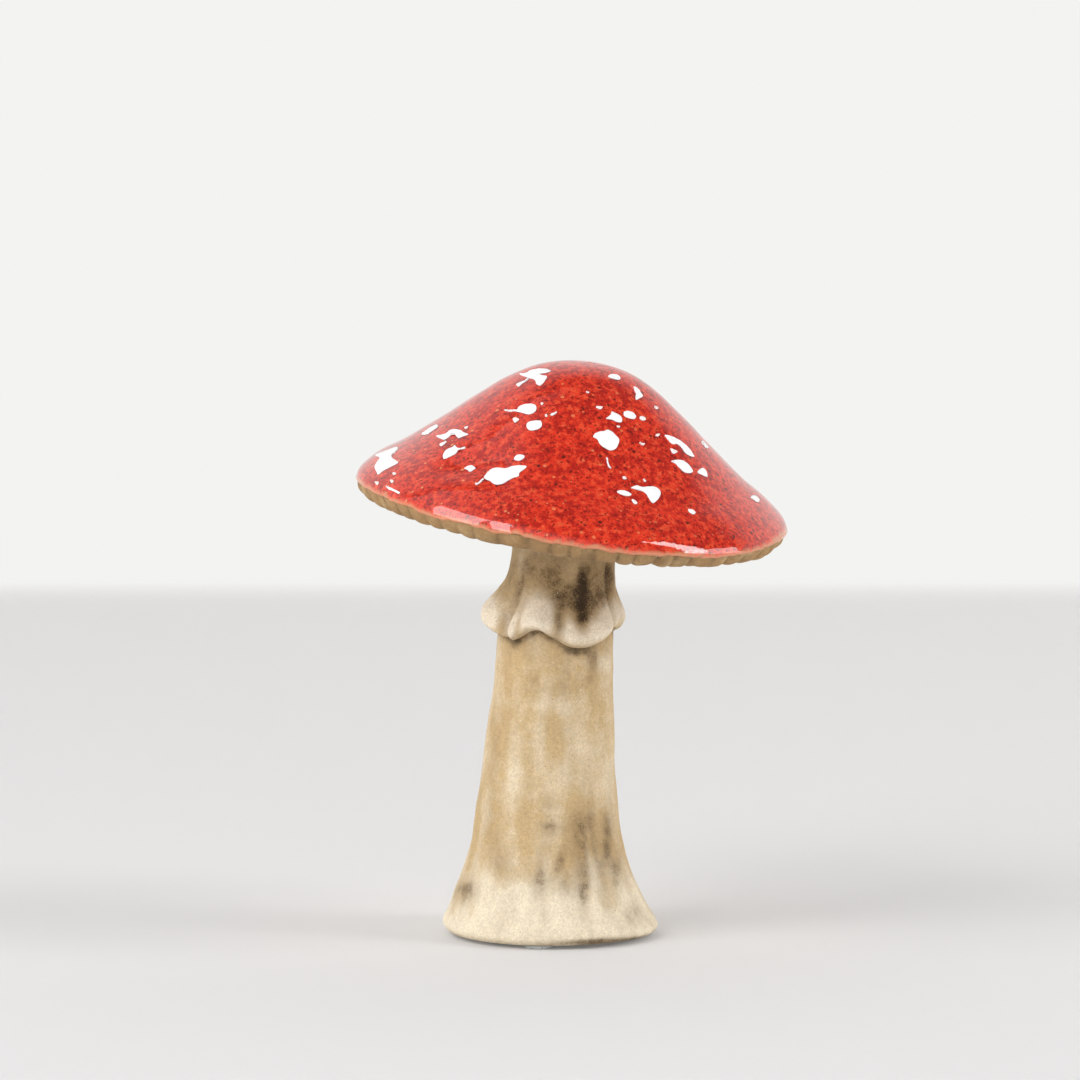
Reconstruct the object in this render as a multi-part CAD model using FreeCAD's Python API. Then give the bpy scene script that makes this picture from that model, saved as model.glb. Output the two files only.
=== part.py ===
import FreeCAD, Part

import math
import os

# A free-standing stoneware toadstool. A hollow stem with a flared, fluted root foot carries a hollow
# cap at a slight tilt. The cap is a dome closed underneath by a pressed plate of gills, and a wavy
# skirt is draped round the neck. The dome has a thick glaze with raised dabs, the rest is bare clay,
# and three clear dots keep the foot off the table.
# All lengths are millimetres. +Z is up, -Y is the front, and the origin is on the table, under the
# middle of the cap. Turns are degrees round +Z, from the right side (+X) towards the back (+Y).

# Clear dots under the foot
dot_radius = 4.0
dot_height = 0.8
dot_inset = 0.3
dot_count = 3
first_dot_turn = -97.0

# Stem
foot_radius = 25.9
foot_hollow_radius = 15.8
waist_radius = 14.2
spigot_radius = 11.0
stem_height = 106.0
stem_wall = 4.4
neck_lean = 4.5
root_ridge = 0.5
root_count = 7
small_root_count = 12
root_twist_turn = 230.0
stem_point_count = 36

# Skirt round the neck
skirt_below_top = 8.8
skirt_length = 21.0
neck_radius = 12.7
hem_drop = 5.8
hem_radius = 15.2
hem_flare = 3.6
hem_thickness = 2.6
hem_undercut = 7.0

# Cap dome
cap_radius = 52.0
crown_height = 34.1
crown_shift = 1.5
dome_wall = 4.2
rim_below_top = 2.15
tilt_right = 6.1
tilt_front = 3.4
seat_width = 6.6

# Gill plate
rim_round = 4.0
rim_land = 1.0
gill_rise = 1.0
hub_radius = 17.0
socket_depth = 2.2
vent_radius = 1.5
gill_count = 60
gill_depth = 1.3
gill_start = 19.0
short_gill_start = 34.0
gill_fade_length = 4.0
groove_turn = 2.8
groove_top_turn = 25.0
groove_full_turn = 50.0
underside_turn = 90.0

# Coil of clay in the corner between neck and gills
coil_width = 2.9
coil_drop = 6.4
coil_lip = 0.6
coil_bend_shares = (0.25, 0.33)

# Glaze on the dome, and the dabs on it
glaze_thickness = 0.5
glaze_line_top = 0.5
glaze_line_drop = 2.2
dab_thickness = 0.35
dab_view_fall = 5.5
back_dab_turn = 14.0

# How far a cutting shape runs past what it cuts, and how smooth the lofted blocks are
overrun = 3.0
loft_degree = 3

# Heights that follow from these sizes
stem_top = dot_height + stem_height
rim_height = stem_top - rim_below_top
skirt_top = stem_top - skirt_below_top
hem_top = skirt_top - skirt_length
undercut_top = hem_top + hem_undercut

# Stem outline from the sole up: height, how far the radius is from the waist's to the foot's, how
# far it is from the waist's to the spigot's, and how strong the root flutes are
stem_shares = (
    (0.000, 0.880, 0.00, 0.50),
    (0.005, 0.935, 0.00, 0.60),
    (0.012, 0.975, 0.00, 0.70),
    (0.025, 1.000, 0.00, 0.80),
    (0.051, 0.863, 0.00, 1.00),
    (0.088, 0.726, 0.00, 1.00),
    (0.125, 0.598, 0.00, 1.00),
    (0.162, 0.487, 0.00, 0.90),
    (0.199, 0.393, 0.00, 0.80),
    (0.240, 0.320, 0.00, 0.65),
    (0.310, 0.239, 0.00, 0.50),
    (0.384, 0.154, 0.00, 0.40),
    (0.458, 0.110, 0.00, 0.30),
    (0.532, 0.045, 0.00, 0.20),
    (0.640, 0.000, 0.02, 0.10),
    (0.710, 0.000, 0.25, 0.00),
    (0.780, 0.000, 0.62, 0.00),
    (0.850, 0.000, 0.92, 0.00),
    (0.930, 0.000, 1.00, 0.00),
    (1.000, 0.000, 1.00, 0.00),
)
# Where the stem's middle line runs: height, and how far it has leant to the right
lean_shares = (
    (0.00, 0.00),
    (0.04, -0.02),
    (0.10, -0.10),
    (0.24, -0.15),
    (0.34, -0.11),
    (0.45, 0.00),
    (0.54, 0.13),
    (0.64, 0.25),
    (0.75, 0.44),
    (0.84, 0.67),
    (0.92, 0.85),
    (1.00, 1.00),
)
# Skirt hem in even steps round the neck: how far it hangs down, and how far it flares out
hem_shares = (
    (0.08, 0.05),
    (0.25, 0.30),
    (0.60, 0.65),
    (0.85, 0.90),
    (0.70, 0.70),
    (0.30, 0.40),
    (0.15, 0.30),
    (0.40, 0.60),
    (0.80, 0.95),
    (0.90, 0.75),
    (0.55, 0.40),
    (0.20, 0.70),
    (0.00, 1.00),
    (0.15, 0.95),
    (0.33, 0.75),
    (0.66, 0.30),
    (0.55, 0.55),
    (0.17, 0.70),
    (0.55, 0.35),
    (0.97, 0.80),
    (0.97, 0.85),
    (0.80, 0.55),
    (0.52, 0.35),
    (0.34, 0.15),
)
# Skirt outline from the top down: height between hem and top, and flare between neck and hem
skirt_shares = ((0.76, 0.00), (0.58, 0.12), (0.42, 0.48), (0.25, 0.85), (0.10, 1.00))
# Dome outline from the rim up: radius as a share of the cap's, and height as one of the crown's
dome_shares = (
    (0.987, 0.047),
    (0.955, 0.100),
    (0.890, 0.182),
    (0.792, 0.279),
    (0.690, 0.400),
    (0.598, 0.516),
    (0.521, 0.622),
    (0.438, 0.724),
    (0.346, 0.830),
    (0.227, 0.933),
    (0.110, 0.985),
)
# Lower edge of the glaze in even steps round the rim: how far it has run down
glaze_line_shares = (
    0.60, 0.50, 0.70, 0.50, 0.60, 0.45, 0.60, 0.75, 0.80,
    0.90, 0.85, 0.75, 0.80, 0.30, 0.05, 0.55, 0.60, 0.50,
)
# Dabs as seen from the front: place across and above the middle of the rim, length and width, all as
# shares of the cap's radius, and the turn of the length in degrees
dab_places_share = (
    (-0.16, 0.59, 0.13, 0.07, 20),
    (-0.21, 0.42, 0.10, 0.04, 10),
    (-0.17, 0.35, 0.07, 0.05, 0),
    (-0.65, 0.33, 0.07, 0.05, 15),
    (-0.55, 0.31, 0.15, 0.05, -12),
    (-0.56, 0.22, 0.08, 0.05, 60),
    (-0.86, 0.19, 0.12, 0.09, 70),
    (-0.47, 0.15, 0.05, 0.03, 0),
    (-0.24, 0.20, 0.05, 0.03, 0),
    (-0.31, 0.12, 0.20, 0.08, -5),
    (-0.83, 0.05, 0.07, 0.03, -15),
    (0.16, 0.28, 0.12, 0.09, -20),
    (0.20, 0.39, 0.08, 0.05, -15),
    (0.27, 0.40, 0.06, 0.04, -20),
    (0.20, 0.57, 0.07, 0.03, -20),
    (0.31, 0.50, 0.08, 0.04, -70),
    (0.50, 0.26, 0.17, 0.04, -36),
    (0.51, 0.16, 0.11, 0.05, -30),
    (0.61, 0.13, 0.06, 0.04, -60),
    (0.63, 0.26, 0.05, 0.03, -50),
    (0.34, 0.03, 0.16, 0.05, 28),
    (0.24, 0.04, 0.08, 0.03, 20),
    (0.17, 0.17, 0.05, 0.02, 80),
    (0.85, 0.01, 0.05, 0.03, -20),
)
dab_point_count = 8
dab_wobble_share = 0.13
dab_wobble_turn = 137.5
next_dab_turn = 97.0
back_dab_reach_share = 0.6


def between(rows, share):
    """The value at a share along rows of (share, value)."""
    for (low, first), (high, second) in zip(rows, rows[1:]):
        if share <= high:
            return first + (second - first) * (share - low) / (high - low)
    return rows[-1][1]


def neck_middle(height):
    """Where across the stem's middle line is at a height. The neck ends on the tilted cap's axis."""
    meeting_depth = rim_round - gill_rise + coil_drop / 2
    neck_end = -meeting_depth * math.sin(math.radians(tilt_right))
    return neck_end + neck_lean * (between(lean_shares, (height - dot_height) / stem_height) - 1)


def closed_curve(points):
    """A smooth closed wire through evenly spaced points."""
    curve = Part.BSplineCurve()
    curve.interpolate(Points=points, PeriodicFlag=True, Parameters=list(range(len(points) + 1)))
    return Part.Wire(curve.toShape())


def smooth_loft(rings):
    """A closed block through rings, curved smoothly from each ring to the next."""
    return Part.makeLoft(rings, True, False, False, loft_degree)


def ring_round_neck(places):
    """A closed wire round the stem's middle line, through evenly turned (radius, height) places."""
    points = []
    for step, (radius, height) in enumerate(places):
        turn = 2 * math.pi * step / len(places)
        points.append(
            FreeCAD.Vector(neck_middle(height) + radius * math.cos(turn), radius * math.sin(turn), height)
        )
    return closed_curve(points)


def stem_ring(row, ridge, shrink=0.0, widest=foot_radius):
    """One ring of the stem's outside, or of its hollow when it is shrunk."""
    height_share, flare, taper, flute = row
    height = dot_height + stem_height * height_share
    radius = waist_radius + (foot_radius - waist_radius) * flare
    radius = min(radius - (waist_radius - spigot_radius) * taper - shrink, widest)
    places = []
    twist = math.radians(root_twist_turn) * height_share
    for step in range(stem_point_count):
        turn = 2 * math.pi * step / stem_point_count
        wave = math.sin(root_count * turn + twist) + math.sin(small_root_count * turn)
        places.append((radius + ridge * flute * wave / 2, height))
    return ring_round_neck(places)


def stem_outside():
    """The stem's outer shape as one closed block."""
    return smooth_loft([stem_ring(row, root_ridge) for row in stem_shares])


def stem_hollow():
    """The space inside the stem, open at the foot and at the top."""
    rings = [stem_ring(row, 0.0, stem_wall, foot_hollow_radius) for row in stem_shares]
    below = rings[0].copy()
    below.translate(FreeCAD.Vector(0, 0, -overrun))
    above = rings[-1].copy()
    above.translate(FreeCAD.Vector(0, 0, overrun))
    return smooth_loft([below] + rings + [above])


def cap_place():
    """Where the cap's own frame sits: the middle of its rim, tilted to the right and the front."""
    lean = FreeCAD.Rotation(FreeCAD.Vector(0, 1, 0), tilt_right)
    nod = FreeCAD.Rotation(FreeCAD.Vector(1, 0, 0), tilt_front)
    return FreeCAD.Placement(FreeCAD.Vector(0, 0, rim_height), lean.multiply(nod))


def on_neck(shape):
    """A shape of the cap's own frame, set on the leaning neck."""
    placed = shape.copy()
    placed.Placement = cap_place().multiply(placed.Placement)
    return placed


def underside_height(radius):
    """Height of the plate's underside at a radius, before the grooves."""
    slope_radius = cap_radius - rim_round - rim_land
    share = (slope_radius - radius) / (slope_radius - hub_radius)
    return gill_rise * min(1.0, max(0.0, share)) - rim_round


def stem_envelope():
    """The stem's outer shape, ended on the floor of the cap's socket."""
    floor = underside_height(0) + socket_depth
    above = Part.makeCylinder(cap_radius, crown_height, FreeCAD.Vector(0, 0, floor))
    return stem_outside().cut(on_neck(above))


def skirt_ring(rise, flare, shrink=0.0, lift=0.0):
    """One ring of the skirt, from the hem's shape and a share of the way up to its top."""
    places = []
    for drop_share, flare_share in hem_shares:
        hem = hem_top - hem_drop * drop_share
        reach = neck_radius + (hem_radius + hem_flare * flare_share - neck_radius) * flare
        places.append((reach - shrink, hem + (skirt_top - hem) * rise + lift))
    return ring_round_neck(places)


def skirt_outside():
    """The draped skirt as a closed bell: down the outside, round the hem's bead and up inside."""
    rings = [skirt_ring(1.0, 0.0)]
    rings += [skirt_ring(rise, flare) for rise, flare in skirt_shares]
    rings.append(skirt_ring(0.0, 1.0, hem_thickness / 2))
    rings.append(skirt_ring(0.0, 1.0, hem_thickness, hem_thickness / 2))
    rings.append(ring_round_neck([(spigot_radius, undercut_top)] * len(hem_shares)))
    return smooth_loft(rings)


def dome_rows(growth):
    """Dome outline as (radius, height, shift of the middle), grown outwards from the bare clay."""
    rows = [(cap_radius, 0.0)]
    rows += [(cap_radius * radius, crown_height * height) for radius, height in dome_shares]
    rows.append((0.0, crown_height))
    grown = [(cap_radius + growth, 0.0, 0.0)]
    for (low_radius, low), (radius, height), (high_radius, high) in zip(rows, rows[1:], rows[2:]):
        run = math.hypot(low_radius - high_radius, high - low)
        out = radius + growth * (high - low) / run
        up = height + growth * (low_radius - high_radius) / run
        grown.append((out, up, -crown_shift * math.sin(math.pi * height / crown_height)))
    return grown


def cap_ring(radius, height, shift=0.0):
    """A round ring in the cap's own frame."""
    return Part.Wire(Part.makeCircle(radius, FreeCAD.Vector(shift, 0, height)))


def dome_block(growth):
    """The dome as a closed block on the plane of its rim."""
    rings = [cap_ring(*row) for row in dome_rows(growth)]
    crown = Part.Vertex(FreeCAD.Vector(0, 0, crown_height + growth))
    return smooth_loft(rings + [crown])


def revolved(points, arc_middle, turn=360):
    """A section turned round the cap's axis: straight from point to point, then an arc to the first."""
    edges = [Part.LineSegment(first, second).toShape() for first, second in zip(points, points[1:])]
    edges.append(Part.Arc(points[-1], arc_middle, points[0]).toShape())
    return Part.Face(Part.Wire(edges)).revolve(FreeCAD.Vector(), FreeCAD.Vector(0, 0, 1), turn)


def rim_point(radius, turn):
    """A point round the middle of the rim's rounding, turned down from straight out."""
    across = radius * math.cos(math.radians(turn))
    return FreeCAD.Vector(cap_radius - rim_round + across, 0, -radius * math.sin(math.radians(turn)))


def rim_block(growth):
    """The part of the cap under the plane of its rim, with a rounded edge."""
    reach = rim_round + growth
    points = [
        rim_point(reach, 0),
        FreeCAD.Vector(),
        FreeCAD.Vector(0, 0, -reach),
        rim_point(reach, underside_turn),
    ]
    return revolved(points, rim_point(reach, underside_turn / 2))


def cap_dome():
    """The thrown dome, a shell with a wider flat rim that sits on the gill plate."""
    rings = [cap_ring(cap_radius - seat_width, height) for height in (-overrun, 0)]
    rings += [cap_ring(*row) for row in dome_rows(-dome_wall) if row[0] < cap_radius - seat_width]
    crown = Part.Vertex(FreeCAD.Vector(0, 0, crown_height - dome_wall))
    return dome_block(0).cut(smooth_loft(rings + [crown]))


def gill_groove(start):
    """One groove between two gills: up round the rim's edge, and along the underside to its start."""
    low = -rim_round - overrun
    floor = rim_round - gill_depth
    points = [
        rim_point(floor, underside_turn),
        FreeCAD.Vector(start, 0, underside_height(start) + gill_depth),
        FreeCAD.Vector(start - gill_fade_length, 0, underside_height(start - gill_fade_length)),
        FreeCAD.Vector(start - gill_fade_length, 0, low),
        FreeCAD.Vector(cap_radius + overrun, 0, low),
        rim_point(rim_round + overrun, groove_top_turn),
        rim_point(rim_round, groove_top_turn),
        rim_point(floor, groove_full_turn),
    ]
    return revolved(points, rim_point(floor, (groove_full_turn + underside_turn) / 2), groove_turn)


def gill_plate(stem_block):
    """The pressed plate under the dome, with gills round its edge, a socket and a vent."""
    slope = Part.makeCone(
        cap_radius - rim_round - rim_land, hub_radius, gill_rise, FreeCAD.Vector(0, 0, -rim_round)
    )
    grooves = []
    for number in range(gill_count):
        groove = gill_groove(short_gill_start if number % 2 else gill_start)
        groove.rotate(FreeCAD.Vector(), FreeCAD.Vector(0, 0, 1), 360 * number / gill_count)
        grooves.append(groove)
    vent = Part.makeCylinder(vent_radius, 2 * rim_round, FreeCAD.Vector(0, 0, -rim_round))
    return on_neck(rim_block(0).cut(slope).cut(vent).cut(grooves)).cut(stem_block)


def coil_foot():
    """Height of the tilted plane, in the cap's own frame, where the coil meets the skirt."""
    return underside_height(0) - coil_drop


def skirt(stem_block):
    """The skirt's sleeve and hem round the stem, trimmed on top where the coil sits."""
    above = Part.makeCylinder(cap_radius, crown_height, FreeCAD.Vector(0, 0, coil_foot()))
    return skirt_outside().cut(stem_block).cut(on_neck(above))


def neck_coil(stem_block):
    """The coil of soft clay pressed into the corner under the gills, hollow outside like a fillet."""
    slim = neck_radius + coil_lip
    out, down = coil_bend_shares
    points = [
        FreeCAD.Vector(slim, 0, coil_foot()),
        FreeCAD.Vector(0, 0, coil_foot()),
        FreeCAD.Vector(0, 0, underside_height(0)),
        FreeCAD.Vector(neck_radius + coil_width, 0, underside_height(0)),
    ]
    bend = FreeCAD.Vector(slim + (coil_width - coil_lip) * out, 0, underside_height(0) - coil_drop * down)
    return on_neck(revolved(points, bend)).cut(stem_block)


def below_glaze_line():
    """Everything under the glaze's wavy lower edge."""
    low = -rim_round - overrun
    reach = cap_radius + 2 * overrun

    def wavy_ring(radius):
        points = []
        for step, share in enumerate(glaze_line_shares):
            turn = 2 * math.pi * step / len(glaze_line_shares)
            height = glaze_line_top - glaze_line_drop * share
            points.append(FreeCAD.Vector(radius * math.cos(turn), radius * math.sin(turn), height))
        return closed_curve(points)

    inner = cap_radius - rim_round
    rings = [cap_ring(reach, low), wavy_ring(reach), wavy_ring(inner), cap_ring(inner, -rim_round)]
    return Part.makeLoft(rings, True, True)


def dab_prism(number, row):
    """A dab's outline, seen from the front and a little above, run through the front of the dome."""
    across, up, length, width, turn = row
    slant = math.radians(turn)
    points = []
    for step in range(dab_point_count):
        way = 2 * math.pi * step / dab_point_count
        wave = math.sin(math.radians(dab_wobble_turn * step + next_dab_turn * number))
        wobble = 1 + dab_wobble_share * wave
        along = cap_radius * length / 2 * math.cos(way) * wobble
        aside = cap_radius * width / 2 * math.sin(way) * wobble
        points.append(
            FreeCAD.Vector(
                cap_radius * across + along * math.cos(slant) - aside * math.sin(slant),
                0,
                rim_height + cap_radius * up + along * math.sin(slant) + aside * math.cos(slant),
            )
        )
    fall = math.radians(dab_view_fall)
    sight = FreeCAD.Vector(0, -math.cos(fall), math.sin(fall)) * (cap_radius + overrun)
    return Part.Face(closed_curve(points)).extrude(sight)


def dome_glaze():
    """The coat of glaze over the dome, which runs down round the rim to a wavy lower edge."""
    coat = dome_block(glaze_thickness).cut(dome_block(0))
    edge = rim_block(glaze_thickness).cut(rim_block(0)).cut(below_glaze_line())
    return coat.cut(below_glaze_line()).fuse(edge)


def glaze_dabs():
    """Raised dabs on the front of the glaze, and part of the same pattern on the back."""
    coat = on_neck(dome_block(glaze_thickness + dab_thickness).cut(dome_block(glaze_thickness)))
    fronts = [dab_prism(number, row) for number, row in enumerate(dab_places_share)]
    middle = cap_place().Base
    to_back = cap_place().Rotation.multVec(FreeCAD.Vector(0, 1, 0))
    backs = []
    for row, prism in zip(dab_places_share, fronts):
        if abs(row[0]) < back_dab_reach_share:
            back = prism.mirror(middle, to_back)
            back.rotate(middle, cap_place().Rotation.multVec(FreeCAD.Vector(0, 0, 1)), back_dab_turn)
            backs.append(back)
    return Part.makeCompound(coat.common(fronts).Solids + coat.common(backs).Solids)


def clear_feet():
    """The round clear dots under the foot's flat ring."""
    land_radius = waist_radius + (foot_radius - waist_radius) * stem_shares[0][1]
    ring_radius = land_radius - dot_inset - dot_radius
    dots = []
    for number in range(dot_count):
        turn = math.radians(first_dot_turn + 360 * number / dot_count)
        across = neck_middle(dot_height) + ring_radius * math.cos(turn)
        place = FreeCAD.Vector(across, ring_radius * math.sin(turn), 0)
        dots.append(Part.makeCylinder(dot_radius, dot_height, place))
    return Part.makeCompound(dots)


def main():
    stem_block = stem_envelope()
    nodes = {
        "clear_feet": clear_feet(),
        "stem": stem_block.cut(stem_hollow()),
        "skirt": skirt(stem_block),
        "neck_coil": neck_coil(stem_block),
        "gill_plate": gill_plate(stem_block),
        "cap_dome": on_neck(cap_dome()),
        "red_glaze": on_neck(dome_glaze()),
        "white_dabs": glaze_dabs(),
    }
    os.makedirs("parts", exist_ok=True)
    for name, shape in nodes.items():
        shape.exportStep("parts/" + name + ".step")
        print(name, len(shape.Solids), "solids", round(shape.Volume), "mm3", shape.isValid())


main()
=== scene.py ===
# %% [markdown]
# # A stoneware toadstool with a glazed cap
#
# The ornament is hand-made. Its cap and stem were thrown on a wheel, so each began as a profile
# turned round an axis. Then fingers bent the neck, folded a skirt out of the soft wall and pressed
# gills under the cap. After firing, brown oxide was washed into every hollow, and the cap got a thick
# red glaze with raised white dabs.
#
# The lesson follows the potter. Each form is a profile that is spun, and then its corners are pushed
# about by small functions, one for each thing the fingers did. Colours come last, as in the studio.

# %% Load the measured model
import math

import bpy
from mathutils import Matrix, Vector, noise
from mathutils.bvhtree import BVHTree


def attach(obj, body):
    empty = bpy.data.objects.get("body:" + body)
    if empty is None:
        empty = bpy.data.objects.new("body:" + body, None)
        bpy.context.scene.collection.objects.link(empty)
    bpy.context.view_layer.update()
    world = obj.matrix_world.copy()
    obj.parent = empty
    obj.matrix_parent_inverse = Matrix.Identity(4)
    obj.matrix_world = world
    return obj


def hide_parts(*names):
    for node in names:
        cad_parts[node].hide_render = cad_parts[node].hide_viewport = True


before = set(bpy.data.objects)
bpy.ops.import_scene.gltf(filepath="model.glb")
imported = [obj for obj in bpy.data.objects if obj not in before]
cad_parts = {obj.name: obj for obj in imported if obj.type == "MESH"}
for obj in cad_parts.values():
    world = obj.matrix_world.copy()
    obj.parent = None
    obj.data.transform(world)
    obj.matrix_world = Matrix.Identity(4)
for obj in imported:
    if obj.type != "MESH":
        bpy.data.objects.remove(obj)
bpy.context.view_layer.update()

mm = 0.001
nodes_of_model = sorted(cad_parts)
print("solids to dress:", ", ".join(nodes_of_model))

# %% [markdown]
# ## Sizes
#
# The real sizes are the same as in the solid model, in millimetres. Blender works in metres, so every
# corner is multiplied by `mm` once, when it is set down.

# %% Sizes of the ornament
dot_height = 0.8
foot_middle = -5.16
stem_wall = 4.4
foot_hollow_radius = 15.8
cap_radius = 52.0
crown_height = 34.1
crown_shift = 1.5
rim_round = 4.0
rim_height = 104.65
tilt_right = 6.1
tilt_front = 3.4
glaze_thickness = 0.5
gill_count = 60
gill_depth = 1.3

# %% [markdown]
# ## The camera
#
# The photograph was taken from the front and a little above, with a long lens. The camera comes first,
# because some marks, such as the white dabs, are easiest to place by where the photograph shows them.
# `sight` gives the direction of a pixel, and `seen_at` gives the pixel of a point.

# %% Camera
eye = Vector((-7.6, -1479.4, 247.6))
look_down = math.radians(5.844)
lens_pixels = 6150.0
middle_pixel = 540.0
ahead = Vector((0, math.cos(look_down), -math.sin(look_down)))
upward = Vector((0, math.sin(look_down), math.cos(look_down)))

camera = bpy.data.objects.new("camera", bpy.data.cameras.new("camera"))
bpy.context.scene.collection.objects.link(camera)
camera.location = eye * mm
camera.rotation_euler = (math.radians(90) - look_down, 0, 0)
camera.data.sensor_width = 36.0
camera.data.lens = 36.0 * lens_pixels / (2 * middle_pixel)
camera.data.clip_end = 100.0
bpy.context.scene.camera = camera
bpy.context.scene.view_settings.view_transform = "Standard"


def sight(across, down):
    """Direction in which the camera sees a pixel."""
    right = Vector((1, 0, 0)) * (across - middle_pixel) / lens_pixels
    return (ahead + right - upward * (down - middle_pixel) / lens_pixels).normalized()


def seen_at(point):
    """Pixel (across, down) at which the camera sees a point."""
    ray = point - eye
    depth = ray.dot(ahead)
    return (
        middle_pixel + lens_pixels * ray.x / depth,
        middle_pixel - lens_pixels * ray.dot(upward) / depth,
    )


print("the origin is seen at", [round(value) for value in seen_at(Vector())])

# %% [markdown]
# ## Curves and waves
#
# A few helpers serve every form. `smooth_line` runs a soft curve through hand-written points, `dial`
# does the same round a full turn, and `lump` is slow noise, for the unevenness that a hand leaves.

# %% Curves and waves


def curve_at(before, start, end, after, share):
    """A point of a smooth curve from start to end, given the points before and after them."""
    slope_in = (end - before) / 2
    slope_out = (after - start) / 2
    low = share * share * (3 - 2 * share)
    bend_in = share * (1 - share) * (1 - share)
    bend_out = -share * share * (1 - share)
    return start * (1 - low) + end * low + slope_in * bend_in + slope_out * bend_out


def smooth_line(points, parts):
    """Points on a smooth curve through (radius, height) points, each stretch cut in equal parts."""
    ends = [Vector(point) for point in points]
    ends = [ends[0]] + ends + [ends[-1]]
    line = []
    for before, start, end, after in zip(ends, ends[1:], ends[2:], ends[3:]):
        line += [tuple(curve_at(before, start, end, after, part / parts)) for part in range(parts)]
    return line + [tuple(ends[-1])]


def level(rows, value):
    """A smooth value from rows of (place, value), which go up in place."""
    rows = [rows[0]] + list(rows) + [rows[-1]]
    if value <= rows[0][0]:
        return rows[0][1]
    for before, start, end, after in zip(rows, rows[1:], rows[2:], rows[3:]):
        if value <= end[0]:
            share = (value - start[0]) / max(end[0] - start[0], 1e-9)
            return curve_at(before[1], start[1], end[1], after[1], share)
    return rows[-1][1]


def dial(rows, turn):
    """A smooth value round a full turn, from rows of (degrees, value) between -180 and 180."""
    turn = (turn + 180) % 360 - 180
    first = (rows[0][0] + 360, rows[0][1])
    second = (rows[1][0] + 360, rows[1][1])
    last = (rows[-1][0] - 360, rows[-1][1])
    next_last = (rows[-2][0] - 360, rows[-2][1])
    rows = [next_last, last] + list(rows) + [first, second]
    for before, start, end, after in zip(rows, rows[1:], rows[2:], rows[3:]):
        if start[0] <= turn <= end[0]:
            return curve_at(before[1], start[1], end[1], after[1], (turn - start[0]) / (end[0] - start[0]))
    return rows[0][1]


def hump(distance, width):
    """1 in the middle and almost 0 at one width away."""
    return math.exp(-3 * (distance / width) ** 2)


def rise(value, low, high):
    """0 below low, 1 above high and a smooth step between."""
    share = min(1.0, max(0.0, (value - low) / (high - low)))
    return share * share * (3 - 2 * share)


def lump(point, size, seed):
    """Slow noise between about -1 and 1, with lumps of a size in mm."""
    return noise.noise(point / size + Vector((seed, 2 * seed, 3 * seed)))


def turn_apart(turn, other):
    """Degrees between two turns, the short way round."""
    return (turn - other + 180) % 360 - 180


def front_turn(point):
    """Degrees round the vertical from the front (-Y) towards the right (+X)."""
    return math.degrees(math.atan2(point.x, -point.y))


def ring_at(turn):
    """A place on the unit ring, for noise that closes on itself after a full turn."""
    angle = math.radians(turn)
    return Vector((math.sin(angle), math.cos(angle), 0))


def stroke_relief(strokes, ends, turn, height):
    """How far drawn strokes stand out. `ends` says how they fade round their lowest and highest point."""
    below, above, before, beyond = ends
    relief = 0.0
    for middle, width, depth, low, high in strokes:
        apart = turn_apart(turn, middle)
        if abs(apart) < 2 * width:
            fade = rise(height, low - below, low + above) * (1 - rise(height, high - before, high + beyond))
            relief += depth * hump(apart, width) * fade
    return relief


# %% [markdown]
# ## Thrown forms
#
# A form off the wheel is a profile turned round an axis. The profile starts as one corner that is
# extruded from point to point, and Spin turns it. Merging joins the seam and the pole, and the normals
# are then turned outwards. `mould` is the hand work afterwards: it moves each corner by a function.

# %% Thrown forms


def thrown(name, profile, steps):
    """A profile of (radius, height) in mm, spun into a closed form."""
    bpy.ops.object.select_all(action="DESELECT")
    bpy.ops.mesh.primitive_plane_add(size=mm)
    piece = bpy.context.object
    piece.name = name
    bpy.ops.object.mode_set(mode="EDIT")
    bpy.ops.mesh.merge(type="CENTER")
    bpy.ops.transform.translate(value=(profile[0][0] * mm, 0, profile[0][1] * mm))
    for (radius, height), (next_radius, next_height) in zip(profile, profile[1:]):
        step = ((next_radius - radius) * mm, 0, (next_height - height) * mm)
        bpy.ops.mesh.extrude_vertices_move(TRANSFORM_OT_translate={"value": step})
    bpy.ops.mesh.select_all(action="SELECT")
    bpy.ops.mesh.spin(steps=steps, angle=2 * math.pi, center=(0, 0, 0), axis=(0, 0, 1))
    bpy.ops.mesh.select_all(action="SELECT")
    bpy.ops.mesh.remove_doubles(threshold=0.0001 * mm)
    bpy.ops.mesh.normals_make_consistent(inside=False)
    bpy.ops.object.mode_set(mode="OBJECT")
    bpy.ops.object.shade_smooth()
    print(name, "has", len(piece.data.vertices), "corners and", len(piece.data.polygons), "faces")
    return piece


def mould(piece, shape):
    """Moves each corner of a piece by a function that takes and gives millimetres."""
    for corner in piece.data.vertices:
        corner.co = shape(corner.co / mm) * mm
    piece.data.update()


def paint(piece, name, value):
    """Stores a value for each corner, from a function of its place in mm and its normal."""
    layer = piece.data.attributes.new(name, "FLOAT", "POINT")
    for corner, normal, store in zip(piece.data.vertices, piece.data.vertex_normals, layer.data):
        store.value = value(corner.co / mm, normal.vector)


def joined(name, pieces):
    """Several pieces made one object."""
    bpy.ops.object.select_all(action="DESELECT")
    for piece in pieces:
        piece.select_set(True)
    bpy.context.view_layer.objects.active = pieces[0]
    bpy.ops.object.join()
    whole = bpy.context.object
    whole.name = name
    return whole


def finished(piece, slot, *replaced):
    """Hangs a piece under the root body and hides the model's parts that it replaces."""
    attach(piece, "root")
    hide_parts(*replaced)


# %% [markdown]
# ## The stem
#
# The stem is a tube with a wide rounded foot. Its neck leans to the right, and fingers have drawn
# shallow roots down the foot. The profile is a closed loop, up the outside and down the hollow, so the
# wall has its real thickness. The roots are grooves and ridges, each with a turn, a width and a depth.

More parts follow.
